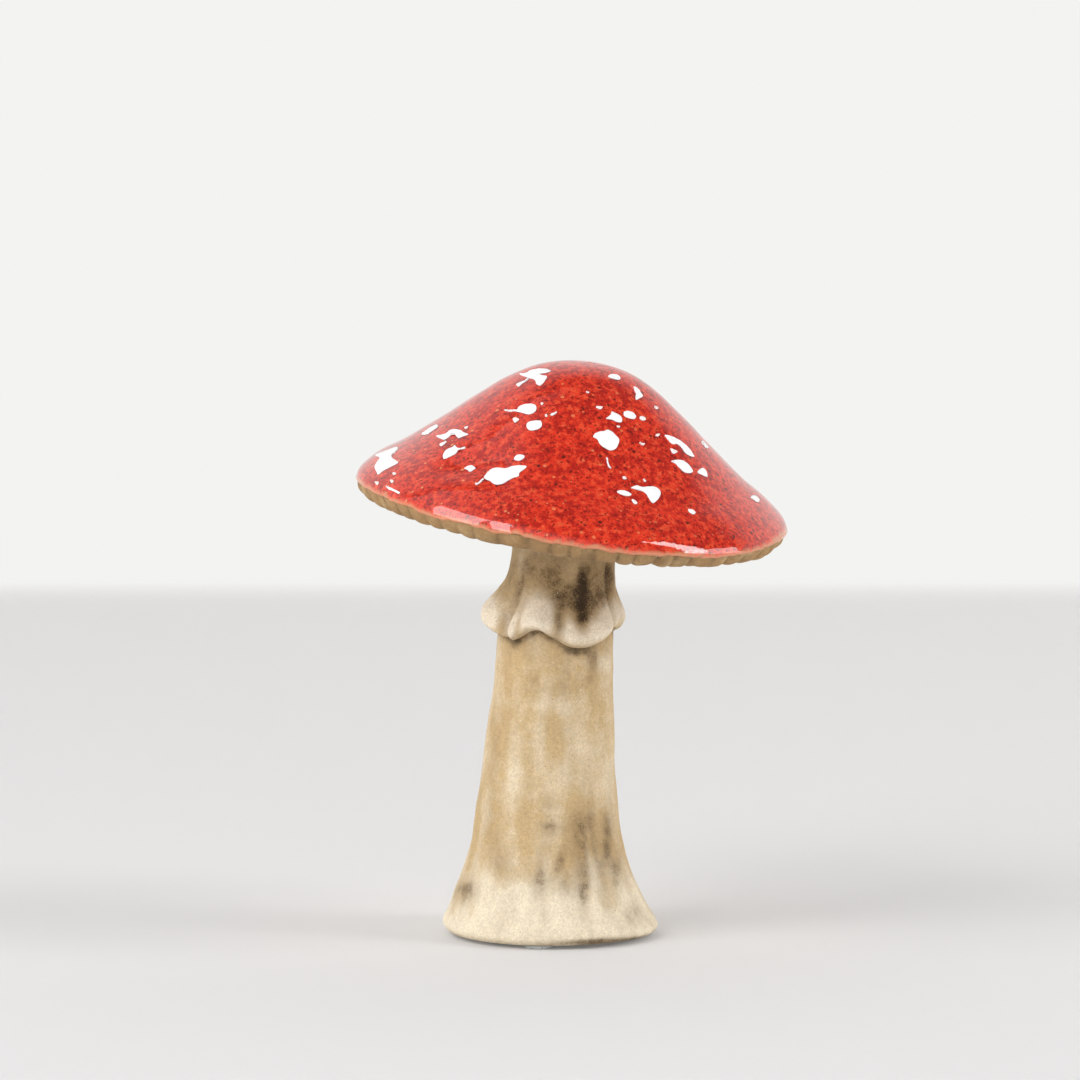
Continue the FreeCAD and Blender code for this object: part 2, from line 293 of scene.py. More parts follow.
# %% Stem profile and lean
stem_outline = (
    (23.0, 0.8), (24.3, 1.0), (25.3, 1.7), (25.85, 2.9), (25.5, 4.4), (24.4, 6.2), (22.7, 10.1),
    (21.2, 14.0), (19.3, 19.9), (18.0, 25.8), (17.0, 33.7), (16.0, 41.5), (15.6, 49.3),
    (14.8, 57.2), (14.4, 62.0), (14.2, 68.0), (13.9, 74.0), (13.0, 80.0), (12.0, 86.0),
    (11.3, 92.0), (11.0, 98.0), (11.0, 103.2),
)
stem_lean = (
    (0.8, 0.0), (5.0, -0.1), (11.4, -0.45), (26.2, -0.68), (36.8, -0.5), (48.5, 0.0), (58.0, 0.58),
    (68.6, 1.13), (80.3, 1.98), (89.8, 3.0), (98.3, 3.83), (106.8, 4.5),
)
# Turn from the front, half width in degrees, depth (a groove is negative), foot and top of the stroke
root_strokes = (
    (38, 8, -0.55, 8, 42), (22, 9, -0.75, 6, 36), (30, 7, 0.45, 4, 34), (-3, 8, -0.6, 7, 26),
    (8, 7, 0.4, 5, 24), (-24, 9, -0.4, 6, 22), (-14, 7, 0.3, 5, 20), (-62, 12, -0.55, 6, 24),
    (-44, 10, 0.35, 3, 20), (66, 10, -0.4, 5, 26), (52, 8, 0.3, 4, 22), (92, 11, -0.7, 5, 34),
    (110, 9, 0.5, 4, 28), (128, 10, -0.55, 6, 30), (150, 9, 0.4, 4, 26), (168, 11, -0.65, 6, 38),
    (-170, 9, 0.45, 4, 24), (-150, 10, -0.6, 5, 32), (-128, 9, 0.4, 4, 26),
    (-108, 10, -0.55, 6, 30), (-88, 9, 0.35, 4, 22),
)


def neck_middle(height):
    """Where across the stem's middle line is at a height."""
    return foot_middle + level(stem_lean, height)


def stem_turn(point):
    """Degrees from the front, round the stem's middle line."""
    return front_turn(point - Vector((neck_middle(point.z), 0, 0)))


def round_stem(turn, radius, height):
    """The point at a turn and radius round the stem's middle line."""
    angle = math.radians(turn)
    return Vector((neck_middle(height) + radius * math.sin(angle), -radius * math.cos(angle), height))


def root_relief(turn, height):
    """How far the drawn roots stand out at a turn and height."""
    return stroke_relief(root_strokes, (5, 3, 12, 4), turn, height)


outside = smooth_line(stem_outline, 5)
hollow = [(min(radius - stem_wall, foot_hollow_radius), height) for radius, height in stem_outline[::-1]]
hollow = smooth_line(hollow, 2)
stem = thrown("stem", outside + hollow + [outside[0]], 240)


def shape_stem(point):
    """Roots, slow lumps and the lean of the neck."""
    turn = front_turn(point)
    radius = math.hypot(point.x, point.y)
    if radius > level(stem_rows, point.z) - stem_wall / 2:
        relief = root_relief(turn, point.z) + 0.22 * lump(point, 9, 1) + 0.1 * lump(point, 3.5, 2)
        radius += relief * rise(point.z, 0.8, 5)
        radius += 0.9 * hump(turn_apart(turn, 66), 55) * (1 - rise(point.z, 1.6, 5))
    return round_stem(turn, radius, point.z)


stem_rows = [(height, radius) for radius, height in stem_outline[3:]]
mould(stem, shape_stem)
finished(stem, "stem", "stem")

# %% [markdown]
# ## The skirt
#
# On a real toadstool the skirt is a torn veil. Here a wall of soft clay was wrapped round the neck,
# smoothed into it at the top and folded at the hem. The sleeve is spun as a bell. The hem then goes up
# and down round the turn, and pressed valleys run up from it. One table says, for each turn, how high
# the hem hangs and how far it stands out.

# %% Skirt hem and folds
skirt_top = 98.0
hem_rows = (
    (-165, 74.6, 17.0), (-148, 72.8, 18.2), (-130, 75.4, 16.6), (-112, 77.6, 17.6),
    (-90, 76.9, 18.5), (-74, 74.8, 18.2), (-60, 73.7, 17.2), (-51, 73.5, 16.2), (-43, 73.1, 17.2),
    (-34, 74.0, 16.9), (-25, 75.4, 17.9), (-16, 76.0, 18.4), (-7, 74.6, 17.4), (3, 73.1, 16.5),
    (14, 71.8, 17.3), (26, 71.6, 18.0), (38, 72.2, 18.0), (50, 73.6, 17.4), (62, 75.0, 16.2),
    (74, 75.4, 15.8), (88, 74.4, 16.2), (102, 74.8, 16.4), (118, 73.0, 17.2), (134, 74.4, 16.6),
    (152, 77.0, 17.6), (176, 76.2, 18.6),
)
hem_height_rows = [(turn, height) for turn, height, reach in hem_rows]
hem_reach_rows = [(turn, reach) for turn, height, reach in hem_rows]
least_skirt_wall = 0.45
# Height above the hem, and how much of the flare is left there
flare_rows = (
    (0.0, 0.50), (0.7, 0.80), (1.8, 0.97), (3.2, 0.95), (5.0, 0.73), (7.2, 0.40), (9.6, 0.13),
    (12.2, 0.03), (15.5, 0.0),
)
# Turn from the front, half width in degrees, depth, lowest and highest point of the fold
skirt_folds = (
    (-50, 9, -1.5, 74, 92), (-42, 7, 0.3, 73, 88), (-35, 5, -0.35, 75, 86), (-17, 13, 0.5, 76, 84),
    (2, 9, -1.0, 74, 86), (22, 10, -0.9, 77, 95), (36, 14, 0.3, 76, 88), (60, 8, -1.0, 76, 96),
    (104, 11, 0.6, 74, 88), (128, 9, -1.2, 74, 92), (162, 9, -0.8, 76, 90), (-176, 11, 0.5, 75, 86),
    (-158, 9, -1.1, 74, 93), (-126, 9, -1.2, 76, 90), (-78, 12, 0.4, 76, 86),
    (-100, 9, -0.7, 78, 92),
)
neck_rows = (
    (80.0, 13.3), (86.0, 13.0), (90.0, 12.7), (94.0, 12.6), (97.0, 12.9), (99.5, 13.6),
    (101.0, 14.8), (102.2, 16.4),
)


def fold_relief(turn, height):
    """How far the pressed folds stand out at a turn and height."""
    return stroke_relief(skirt_folds, (4, 2, 9, 2), turn, height)


def neck_surface(turn, height):
    """Radius of the outside of the skirt and neck at a turn and height."""
    above = height - dial(hem_height_rows, turn)
    neck = level(neck_rows, height)
    flare = level(flare_rows, above) * (dial(hem_reach_rows, turn) - neck)
    angle = math.radians(turn)
    place = Vector((20 * math.sin(angle), -20 * math.cos(angle), height))
    radius = neck + flare + fold_relief(turn, height) + 0.2 * lump(place, 7, 4) + 0.08 * lump(place, 3, 5)
    return max(radius, level(stem_rows, height) + least_skirt_wall)


# The bell is spun in units: its height is a row number, and the radius says inside or outside
bell_rows = 60
sleeve_radius = 12.4
bell = [(2.0, row) for row in range(bell_rows + 1)]
bell += [(1.0, bell_rows), (1.0, bell_rows / 2), (1.0, 0), (1.6, -1), bell[0]]
skirt = thrown("skirt", bell, 288)


def shape_skirt(point):
    """Places a row of the bell on the folded skirt, or on its hidden inside."""
    turn = front_turn(point)
    hem = dial(hem_height_rows, turn)
    unit_radius = math.hypot(point.x, point.y)
    share = min(1.0, max(0.0, point.z / bell_rows))
    if unit_radius > 1.8:
        height = hem + (skirt_top - hem) * (0.6 * share ** 1.6 + 0.4 * share)
        radius = neck_surface(turn, height)
    elif unit_radius > 1.3:
        height = hem + 0.5
        radius = neck_surface(turn, hem) - 0.9
    else:
        height = hem + 2.6 + (skirt_top - hem - 2.6) * share
        radius = sleeve_radius - 0.9 * share - (0.6 if share > 0.9 else 0)
    return round_stem(turn, radius, height)


mould(skirt, shape_skirt)
finished(skirt, "skirt", "skirt")

# %% [markdown]
# ## The coil under the cap
#
# A roll of soft clay was pressed into the corner between neck and cap, and smoothed to a fillet. It
# carries on from the skirt with the same folds, so it asks the same function for its radius.

# %% Coil under the cap
coil_rows = 12
coil_top = 102.4
coil_hollow_radius = 10.8
coil_profile = [(2.0, row) for row in range(coil_rows + 1)]
coil_profile += [(1.0, coil_rows), (1.0, 0), coil_profile[0]]
neck_coil = thrown("neck_coil", coil_profile, 288)


def shape_coil(point):
    """Places a row of the coil on the neck, or on its hidden inside."""
    turn = front_turn(point)
    share = point.z / coil_rows
    height = skirt_top - 0.02 + (coil_top - skirt_top) * share
    radius = neck_surface(turn, height) if math.hypot(point.x, point.y) > 1.5 else coil_hollow_radius
    return round_stem(turn, radius, height)


mould(neck_coil, shape_coil)
finished(neck_coil, "neck_coil", "neck_coil")

# %% [markdown]
# ## The plate of gills
#
# The underside of the cap is a pressed plate with a rounded edge. About sixty gills run in from the
# edge, every second one short. They are soft folds, not teeth, and a hand spaced them, so a slow wave
# shifts their turns and changes their depth. The cap's own frame is tilted to the right and the front,
# and `on_neck` sets finished corners down there.

# %% Cap frame
cap_frame = (
    Matrix.Translation((0, 0, rim_height))
    @ Matrix.Rotation(math.radians(tilt_right), 4, "Y")
    @ Matrix.Rotation(math.radians(tilt_front), 4, "X")
)


def on_neck(piece):
    """Bends a piece of the cap by hand and sets it down on the leaning neck."""
    mould(piece, lambda point: cap_frame @ bent(point))


# Turn from the front in the cap's own frame, and how far the rim is bent up there
rim_bends = (
    (-150, 0.3), (-112, 1.0), (-85, 1.5), (-60, 1.5), (-40, 0.8), (-24, 0.1), (-8, -0.5),
    (10, -1.3), (30, -1.7), (55, -1.6), (75, -0.9), (95, -0.1), (130, 0.3), (170, 0.2),
)


def bent(point):
    """A point of the cap, moved by what the potter's hands bent: the rim, a flank and a crease."""
    turn = front_turn(point)
    lift = dial(rim_bends, turn) * (1 - rise(point.z, 4, 24)) * rise(math.hypot(point.x, point.y), 12, 30)
    lift += 0.5 * rise(point.z, 18, 32)
    flank = 1.3 * hump(turn_apart(turn, 84), 60) * hump(point.z - 18, 18)
    crease = -1.0 * hump(turn_apart(turn, -38 + 1.3 * (point.z - 12)), 17) * hump(point.z - 12, 7)
    radius = max(1.0, math.hypot(point.x, point.y))
    way = Vector((point.x / radius, point.y / radius, 0))
    return point + Vector((0, 0, lift)) + (way * 0.7 + Vector((0, 0, 0.7))) * (flank + crease)


# %% Gill plate
edge_middle = cap_radius - rim_round
edge_arc = [
    (edge_middle + rim_round * math.cos(math.radians(turn)), -rim_round * math.sin(math.radians(turn)))
    for turn in range(0, 91, 4)
]
underside = [(46.5, -3.98), (45.0, -3.93), (43.0, -3.86), (40.0, -3.75), (37.0, -3.65), (34.5, -3.56)]
underside += [(32.0, -3.48), (29.5, -3.4), (27.0, -3.32), (24.0, -3.22), (21.0, -3.13), (18.0, -3.03)]
underside += [(14.0, -3.0), (1.5, -3.0), (1.5, 0.0), (30.0, 0.0), (51.0, 0.0)]
gill_plate = thrown("gill_plate", edge_arc + underside + [edge_arc[0]], 720)


def gill_place(turn):
    """Number of the gill at a turn, with the uneven spacing that a hand leaves."""
    ring = ring_at(turn)
    return (gill_count * turn / 360 + 0.55 * lump(ring, 0.25, 7) + 0.3 * lump(ring, 0.09, 8)) % gill_count


def shape_gills(point):
    """Presses the grooves between the gills, square to the rim's edge or the underside."""
    radius = math.hypot(point.x, point.y)
    if point.z > -0.2 or radius < 16:
        return point
    turn = front_turn(point)
    place = gill_place(turn)
    outward = Vector((point.x / radius, point.y / radius, 0))
    if radius > edge_middle:
        over = math.degrees(math.atan2(-point.z, radius - edge_middle))
        normal = outward * math.cos(math.radians(over)) - Vector((0, 0, 1)) * math.sin(math.radians(over))
        start = rise(over, 3, 36)
    else:
        normal = Vector((0, 0, -1))
        start = rise(radius, 33, 38) if int(place) % 2 else rise(radius, 17.5, 23)
    ring = ring_at(turn)
    soft_front = 1 - 0.78 * hump(turn_apart(turn, -12), 64)
    deep = gill_depth * soft_front * (0.75 + 0.6 * lump(ring, 0.09, 9)) * start
    between = abs((place % 1.0) * 2 - 1)
    groove = between ** 3
    swell = (0.45 * lump(ring, 0.16, 11) + 0.35 * lump(ring, 0.07, 17)) * start
    return point - normal * (deep * groove - swell - 0.12 * lump(point, 2.5, 12))


def gill_darkening(point, normal):
    """Darker in the grooves between the gills, in patches and towards the front."""
    between = abs((gill_place(front_turn(point)) % 1.0) * 2 - 1)
    patches = max(0.0, lump(point, 8, 41)) + 0.7 * max(0.0, lump(point, 3, 42))
    front = 0.4 * hump(turn_apart(front_turn(point), 0), 50)
    return 0.7 * between**4 + 0.6 * patches + front + 0.08


mould(gill_plate, shape_gills)
paint(gill_plate, "stain_and_shade", gill_darkening)
paint(gill_plate, "pale", lambda point, normal: 1.2 * max(0.0, lump(point, 5, 43)))
on_neck(gill_plate)
finished(gill_plate, "gill_plate", "gill_plate")

# %% [markdown]
# ## The glaze
#
# The glaze is a thick coat of glass. Its outline is the dome's, half a millimetre out. It has run down
# over the rim and stopped in an uneven line with a soft rounded lip. It is spun in units as the skirt
# was: the height is a row number, and the function knows where on the dome each row belongs.

# %% Dome outline
dome_shares = (
    (1.0, 0.0), (0.987, 0.047), (0.955, 0.100), (0.890, 0.182), (0.792, 0.279), (0.690, 0.400),
    (0.598, 0.516), (0.521, 0.622), (0.438, 0.724), (0.346, 0.830), (0.227, 0.933), (0.110, 0.985),
    (0.0, 1.0),
)
dome_line = smooth_line([(cap_radius * r, crown_height * h) for r, h in dome_shares], 8)
print("the dome's outline has", len(dome_line), "points")

# %% Line where the glaze ends
# Turn from the front in the cap's own frame, and the height where the glaze stops
glaze_line = (
    (-170, -0.2), (-150, -0.7), (-128, 0.0), (-110, -0.4), (-92, 0.1), (-78, 0.3), (-62, 0.0),
    (-48, -0.1), (-40, -0.7), (-31, -0.2), (-22, -0.4), (-12, -0.1), (-4, -0.6), (6, -0.3),
    (16, -0.7), (28, -0.5), (38, -1.0), (50, -0.6), (62, -0.3), (74, 0.7), (88, -0.1), (104, -0.8),
    (122, -0.3), (138, -1.0), (156, -0.5), (172, -0.9),
)


def glaze_end(turn):
    """Height in the cap's frame where the glaze ends at a turn."""
    ring = ring_at(turn)
    return dial(glaze_line, turn) + 0.55 * lump(ring, 0.07, 13) + 0.35 * lump(ring, 0.03, 14)


def rim_point(height):
    """Radius of the rim's edge at a height below the plane of the rim."""
    return edge_middle + math.sqrt(max(0.0, rim_round**2 - height**2))


def rim_normal(height):
    """Way out (across, up) from the rim's edge at a height below the plane of the rim."""
    return (rim_point(height) - edge_middle) / rim_round, height / rim_round


# %% Glaze coat
flow_rows = 14
lip_rows = 5
dome_count = len(dome_line) - 1
top_row = flow_rows + dome_count
coat = [(0.0, top_row)]
coat += [(2.0, row) for row in range(top_row - 1, -1, -1)]
coat += [(2.0 - row / lip_rows, -1) for row in range(1, lip_rows)]
coat += [(1.0, row) for row in range(0, top_row - 4, 6)]
coat.append((0.0, top_row - 2))
glaze = thrown("red_glaze", coat, 360)


def crown_lean(height):
    """How far the crown leans at a height above the plane of the rim."""
    return -crown_shift * math.sin(math.pi * min(1.0, max(0.0, height / crown_height)))


def outline_at(row, growth):
    """Radius, height and way out of the dome's outline at a row above the plane of the rim."""
    row = min(max(row, 0.0), dome_count)
    low = min(int(row), dome_count - 1)
    share = row - low
    radius = dome_line[low][0] * (1 - share) + dome_line[low + 1][0] * share
    height = dome_line[low][1] * (1 - share) + dome_line[low + 1][1] * share
    before = dome_line[max(low - 1, 0)]
    after = dome_line[min(low + 2, dome_count)]
    run = math.hypot(after[0] - before[0], after[1] - before[1])
    out = (after[1] - before[1]) / run
    up = (before[0] - after[0]) / run
    if row >= dome_count:
        out, up = 0.0, 1.0
    return radius + growth * out, height + growth * up


def shape_glaze(point):
    """Places a row of the coat: on the dome, on the rim's edge, or round the lip."""
    unit_radius = math.hypot(point.x, point.y)
    turn = front_turn(point)
    angle = math.radians(turn)
    way = Vector((math.sin(angle), -math.cos(angle), 0))
    end = glaze_end(turn)
    outer = unit_radius > 1.95 or point.z > top_row - 0.5
    if unit_radius < 0.5:
        radius, height = 0.0, crown_height + (glaze_thickness if outer else 0)
    elif point.z > flow_rows - 0.5:
        radius, height = outline_at(point.z - flow_rows, glaze_thickness if outer else 0)
    else:
        share = max(0.0, point.z / flow_rows)
        height = end * (1 - share)
        if unit_radius > 1.95:
            thick = glaze_thickness * (0.35 + 0.65 * rise(share, 0, 0.3))
        elif unit_radius > 1.05:
            around = (2.0 - unit_radius) * math.pi
            thick = glaze_thickness * 0.35 * (1 + math.cos(around)) / 2
            height -= 0.18 * math.sin(around)
        else:
            thick = 0.0
        out, up = rim_normal(height)
        radius = rim_point(height) + thick * out
        height += thick * up
    place = way * radius + Vector((crown_lean(height), 0, height))
    if outer:
        soft = 0.22 * lump(place, 16, 15) + 0.05 * lump(place, 5, 16)
        place += (way * 0.4 + Vector((0, 0, 0.6))) * soft * rise(height, 0, 6)
    return place


mould(glaze, shape_glaze)
paint(glaze, "thin", lambda point, normal: 1 - rise(point.z - glaze_end(front_turn(point)), -0.1, 2.0))
on_neck(glaze)
finished(glaze, "red_glaze", "red_glaze")

# %% [markdown]
# ## The dome under the glaze
#
# The clay dome hides under its glaze, but it is bent with it. Its outside is the dome's outline and its
# inside follows one wall further in.

# %% Clay dome
dome_wall = 4.2
dome = [(1.0, row) for row in range(dome_count)] + [(0.0, dome_count)]
dome += [(0.0, dome_count - 2)] + [(0.9, row) for row in range(dome_count - 3, -1, -3)] + [(1.0, 0)]
cap_dome = thrown("cap_dome", dome, 240)


def shape_dome(point):
    """Places a row of the dome on its outline, or one wall further in."""
    unit_radius = math.hypot(point.x, point.y)
    turn = math.radians(front_turn(point))
    inside = unit_radius < 0.95 and point.z < dome_count
    radius, height = outline_at(point.z, -dome_wall if inside else -0.05)
    if unit_radius < 0.5:
        radius, height = 0.0, crown_height - (dome_wall if inside else 0.05)
    across = radius * math.sin(turn) + crown_lean(height)
    return Vector((across, -radius * math.cos(turn), max(0.02, height)))


mould(cap_dome, shape_dome)
on_neck(cap_dome)
finished(cap_dome, "cap_dome", "cap_dome")

# %% [markdown]
# ## The white dabs
#
# White glaze was flicked on before the firing. Each dab is a raised puddle with an irregular outline.
# The outlines are drawn flat, as the camera sees them, in pixels of the photograph. Each starts as a
# face that is inset for its soft edge, and then every corner is sent along its own line of sight on to
# the glaze. The first ring, outside the outline, is the thin dark line where the two glazes meet. It is
# painted darker towards the lower right, as the raised dab's shadow.

# %% Outlines of the dabs, in pixels of the photograph
dab_outlines = {
    "crown_branch": (
        (519.1, 374.3), (526.3, 373.2), (530.2, 370.6), (536.7, 369.2), (544.6, 369.0), (551.1, 371.0),
        (547.2, 373.2), (541.3, 373.9), (540.6, 375.0), (547.2, 376.7), (545.2, 381.2), (540.6, 385.8),
        (536.1, 384.0), (534.8, 380.6), (530.2, 378.9), (525.3, 377.1),
    ),
    "crown_chip": (
        (516.5, 384.4), (523.7, 381.1), (529.5, 379.2), (526.3, 381.8), (522.3, 384.4), (519.1, 387.0),
        (517.1, 386.4),
    ),
    "tailed_egg": (
        (504.7, 411.0), (510.6, 409.9), (516.5, 410.0), (519.1, 406.6), (525.0, 404.4), (531.5, 403.9),
        (536.1, 405.7), (536.7, 409.3), (534.1, 413.2), (528.9, 414.9), (523.7, 413.6), (518.4, 412.3),
        (513.8, 411.6), (509.6, 411.9),
    ),
    "round_bean": (
        (526.3, 426.3), (528.2, 422.3), (534.1, 420.8), (540.6, 420.8), (542.2, 423.6), (540.6, 428.2),
        (534.8, 430.6), (529.5, 430.6),
    ),
    "bead_left": ((512.5, 419.1), (515.8, 417.5), (519.5, 419.3), (517.8, 421.7), (514.8, 423.0)),
    "bead_right": ((550.1, 414.9), (553.1, 412.8), (557.4, 412.5), (555.0, 414.8), (551.8, 416.2)),
    "left_dash": (
        (421.9, 434.1), (428.2, 428.9), (434.1, 425.6), (437.6, 424.9), (438.4, 427.6), (433.4, 430.8),
        (427.6, 434.5), (423.2, 435.4),
    ),
    "ragged_strip": (
        (436.3, 436.7), (441.9, 434.7), (446.5, 433.4), (450.4, 430.2), (455.7, 429.3), (460.9, 430.2),
        (463.5, 432.1), (468.7, 434.5), (464.2, 436.3), (458.9, 438.7), (456.3, 436.7), (454.0, 434.6),
        (451.1, 436.1), (447.8, 438.7), (443.9, 440.2), (440.6, 438.9),
    ),
    "comma": (
        (442.9, 455.7), (445.2, 451.1), (449.1, 448.5), (452.4, 447.4), (455.0, 445.2), (457.6, 447.9),
        (460.9, 448.2), (464.2, 446.8), (466.1, 448.1), (462.9, 449.8), (458.9, 450.4), (455.7, 454.4),
        (449.1, 457.6), (443.9, 459.3),
    ),
    "crumb_left": ((439.3, 445.2), (441.3, 443.2), (447.2, 441.9), (444.6, 444.6), (441.9, 446.5)),
    "crumb_high": ((464.2, 427.9), (467.7, 426.2), (468.7, 427.6), (466.1, 429.3)),
    "big_left": (
        (375.3, 455.7), (381.1, 452.4), (389.6, 449.4), (396.8, 447.2), (398.4, 449.1), (395.5, 452.4),
        (391.8, 455.7), (393.6, 458.9), (398.8, 462.5), (393.6, 466.1), (385.1, 470.0), (378.5, 475.0),
        (376.6, 472.0), (374.6, 467.4), (376.6, 462.9), (379.8, 458.3),
    ),
    "small_kite": (
        (464.2, 468.7), (467.4, 466.4), (472.0, 465.5), (475.9, 468.1), (473.3, 470.7), (470.0, 472.4),
        (467.2, 470.3),
    ),
    "small_egg": (
        (513.8, 458.9), (515.8, 455.7), (520.4, 454.4), (524.7, 455.9), (523.7, 458.9), (519.1, 461.2),
        (515.5, 460.6),
    ),
    "fish": (
        (483.8, 477.9), (487.0, 473.3), (492.3, 468.7), (498.8, 467.7), (505.3, 468.5), (511.9, 466.4),
        (519.7, 465.5), (526.9, 466.4), (523.0, 470.7), (519.7, 473.3), (518.4, 476.6), (513.2, 478.5),
        (508.0, 481.2), (502.7, 484.2), (497.5, 485.1), (492.9, 483.8), (490.3, 481.2), (487.0, 480.2),
    ),
    "fish_chip": ((475.0, 484.4), (479.2, 481.8), (483.8, 479.5), (480.5, 483.1), (477.2, 485.1)),
    "rim_dash": (
        (386.4, 486.4), (390.3, 487.3), (395.5, 489.7), (400.5, 492.5), (398.8, 494.2), (393.6, 491.6),
        (388.3, 489.4),
    ),
    "rim_dot_a": ((374.9, 481.6), (379.6, 482.1), (377.9, 485.5), (375.9, 484.4)),
    "rim_dot_b": ((390.0, 480.2), (392.9, 479.9), (394.0, 482.1), (391.6, 483.4)),
    "rim_dot_c": ((392.3, 473.3), (394.9, 472.4), (396.6, 474.2), (393.6, 475.5)),
    "top_dash": (
        (608.1, 376.9), (610.6, 374.4), (616.5, 374.7), (620.4, 377.6), (619.4, 380.2), (614.3, 379.4),
    ),
    "right_claw": (
        (633.3, 386.7), (637.0, 387.9), (639.9, 391.5), (642.9, 396.4), (639.9, 398.4), (636.6, 400.3),
        (634.8, 398.4), (635.7, 393.7), (634.1, 390.1),
    ),
    "shield": (
        (605.8, 418.7), (610.2, 415.0), (611.3, 411.6), (615.0, 413.1), (620.4, 416.0), (622.3, 420.1),
        (620.1, 423.1), (615.0, 421.6), (610.6, 419.9),
    ),
    "bean": (
        (623.4, 412.1), (627.5, 411.0), (633.3, 412.8), (636.0, 416.5), (634.1, 419.4), (628.9, 418.7),
        (624.5, 416.5),
    ),
    "bean_crumb": ((639.2, 417.2), (642.1, 416.0), (645.8, 418.7), (644.3, 420.9), (640.7, 420.4)),
    "drip": ((595.9, 406.6), (599.3, 406.2), (602.8, 407.2), (600.3, 409.9), (597.8, 409.1)),
    "round_big": (
        (593.0, 437.0), (595.2, 433.3), (600.3, 431.6), (604.0, 431.1), (607.7, 429.7), (612.1, 431.9),
        (616.5, 436.3), (619.4, 439.9), (617.9, 445.8), (615.0, 449.5), (609.9, 450.9), (604.0, 448.0),
        (599.6, 444.3), (597.4, 439.9),
    ),
    "sliver": (
        (606.6, 458.6), (608.1, 461.2), (609.1, 464.9), (611.3, 468.3), (609.6, 468.6), (607.2, 464.9),
    ),
    "long_arc": (
        (664.4, 435.1), (671.5, 436.3), (678.8, 439.9), (684.7, 444.3), (689.8, 449.5), (694.2, 456.8),
        (689.8, 456.5), (684.7, 453.1), (681.8, 448.7), (677.4, 444.3), (672.2, 444.3), (667.8, 439.9),
    ),
    "arc_crumb": ((670.0, 448.7), (673.7, 450.2), (677.4, 452.1), (673.0, 454.2)),
    "slug": (
        (670.8, 461.2), (677.4, 459.8), (684.0, 461.2), (689.1, 465.6), (692.8, 471.5), (689.1, 473.7),
        (683.2, 472.2), (678.8, 467.8), (675.2, 463.9),
    ),
    "slug_tip": (
        (697.2, 471.2), (702.3, 467.8), (706.7, 472.2), (707.1, 477.4), (703.0, 475.9), (698.6, 473.7),
    ),
    "edge_flake": ((700.8, 441.0), (704.5, 443.6), (708.2, 448.7), (705.2, 447.7), (702.3, 444.3)),
    "spark_a": ((655.1, 435.5), (657.6, 433.6), (660.0, 434.5), (657.6, 437.0)),
    "spark_b": ((638.9, 442.4), (642.1, 442.9), (644.8, 444.3), (642.1, 445.8)),
    "club": (
        (630.7, 487.9), (636.3, 485.4), (642.1, 487.1), (649.5, 486.4), (656.1, 487.3), (660.5, 492.0),
        (659.7, 497.2), (656.1, 501.6), (652.4, 503.5), (649.5, 500.1), (646.5, 495.0), (642.1, 491.3),
        (636.3, 490.0),
    ),
    "club_side": (
        (616.5, 491.7), (620.9, 490.3), (626.7, 491.3), (631.6, 494.7), (628.2, 496.7), (621.6, 495.2),
    ),
    "club_drop": ((631.6, 499.4), (634.8, 500.1), (637.5, 503.5), (634.8, 504.5), (632.6, 502.3)),
    "low_tear": ((687.9, 509.3), (692.8, 509.9), (695.7, 513.3), (692.8, 514.8), (689.4, 512.6)),
    "far_right": ((750.4, 496.4), (755.1, 495.7), (759.5, 500.1), (757.3, 502.6), (752.9, 500.1)),
    "dot_a": ((622.3, 476.6), (625.3, 476.6), (626.7, 479.1), (623.4, 479.6)),
    "dot_b": ((642.9, 478.8), (646.5, 481.0), (644.3, 482.6)),
    "dot_c": ((653.9, 406.2), (656.8, 406.6), (658.3, 409.1), (656.1, 409.6)),
    "dot_d": ((616.5, 425.7), (619.9, 425.9), (619.9, 427.8), (617.4, 427.9)),
    "dot_e": ((540.4, 403.1), (542.9, 402.7), (543.5, 404.6), (541.3, 405.6)),
    "dot_f": ((545.0, 414.5), (547.4, 414.5), (547.4, 417.1), (545.2, 417.1)),
    "dot_g": ((585.7, 391.9), (589.3, 391.9), (588.5, 394.0)),
}
print(len(dab_outlines), "dabs are drawn on the front")

# %% Making a dab
dab_height = 0.3
sunk_edge = 0.06
dark_line_width = 0.3
soft_edge_width = 0.2
back_turn = 14.0
wobble = 0.3
wobble_size = 2.2
wobble_seed = 5
# The wobble would start from the clock. With a seed it is the same in every run.
noise.seed_set(wobble_seed)
glaze_tree = BVHTree.FromObject(glaze, bpy.context.evaluated_depsgraph_get())
pixels = lens_pixels / abs(eye.y)


def rounded(outline):
    """An outline with its corners softened, twice as many points, drawn anticlockwise."""
    points = [Vector(point) for point in outline]
    area = sum(a.x * b.y - a.y * b.x for a, b in zip(points, points[1:] + points[:1]))
    if area > 0:
        points.reverse()
    line = []
    for number in range(len(points)):
        quad = [points[(number + step - 1) % len(points)] for step in range(4)]
        line += [curve_at(*quad, share) for share in (0.0, 0.33, 0.67)]
    return [place + wobble * noise.noise_vector(place.to_3d() / wobble_size).to_2d() for place in line]


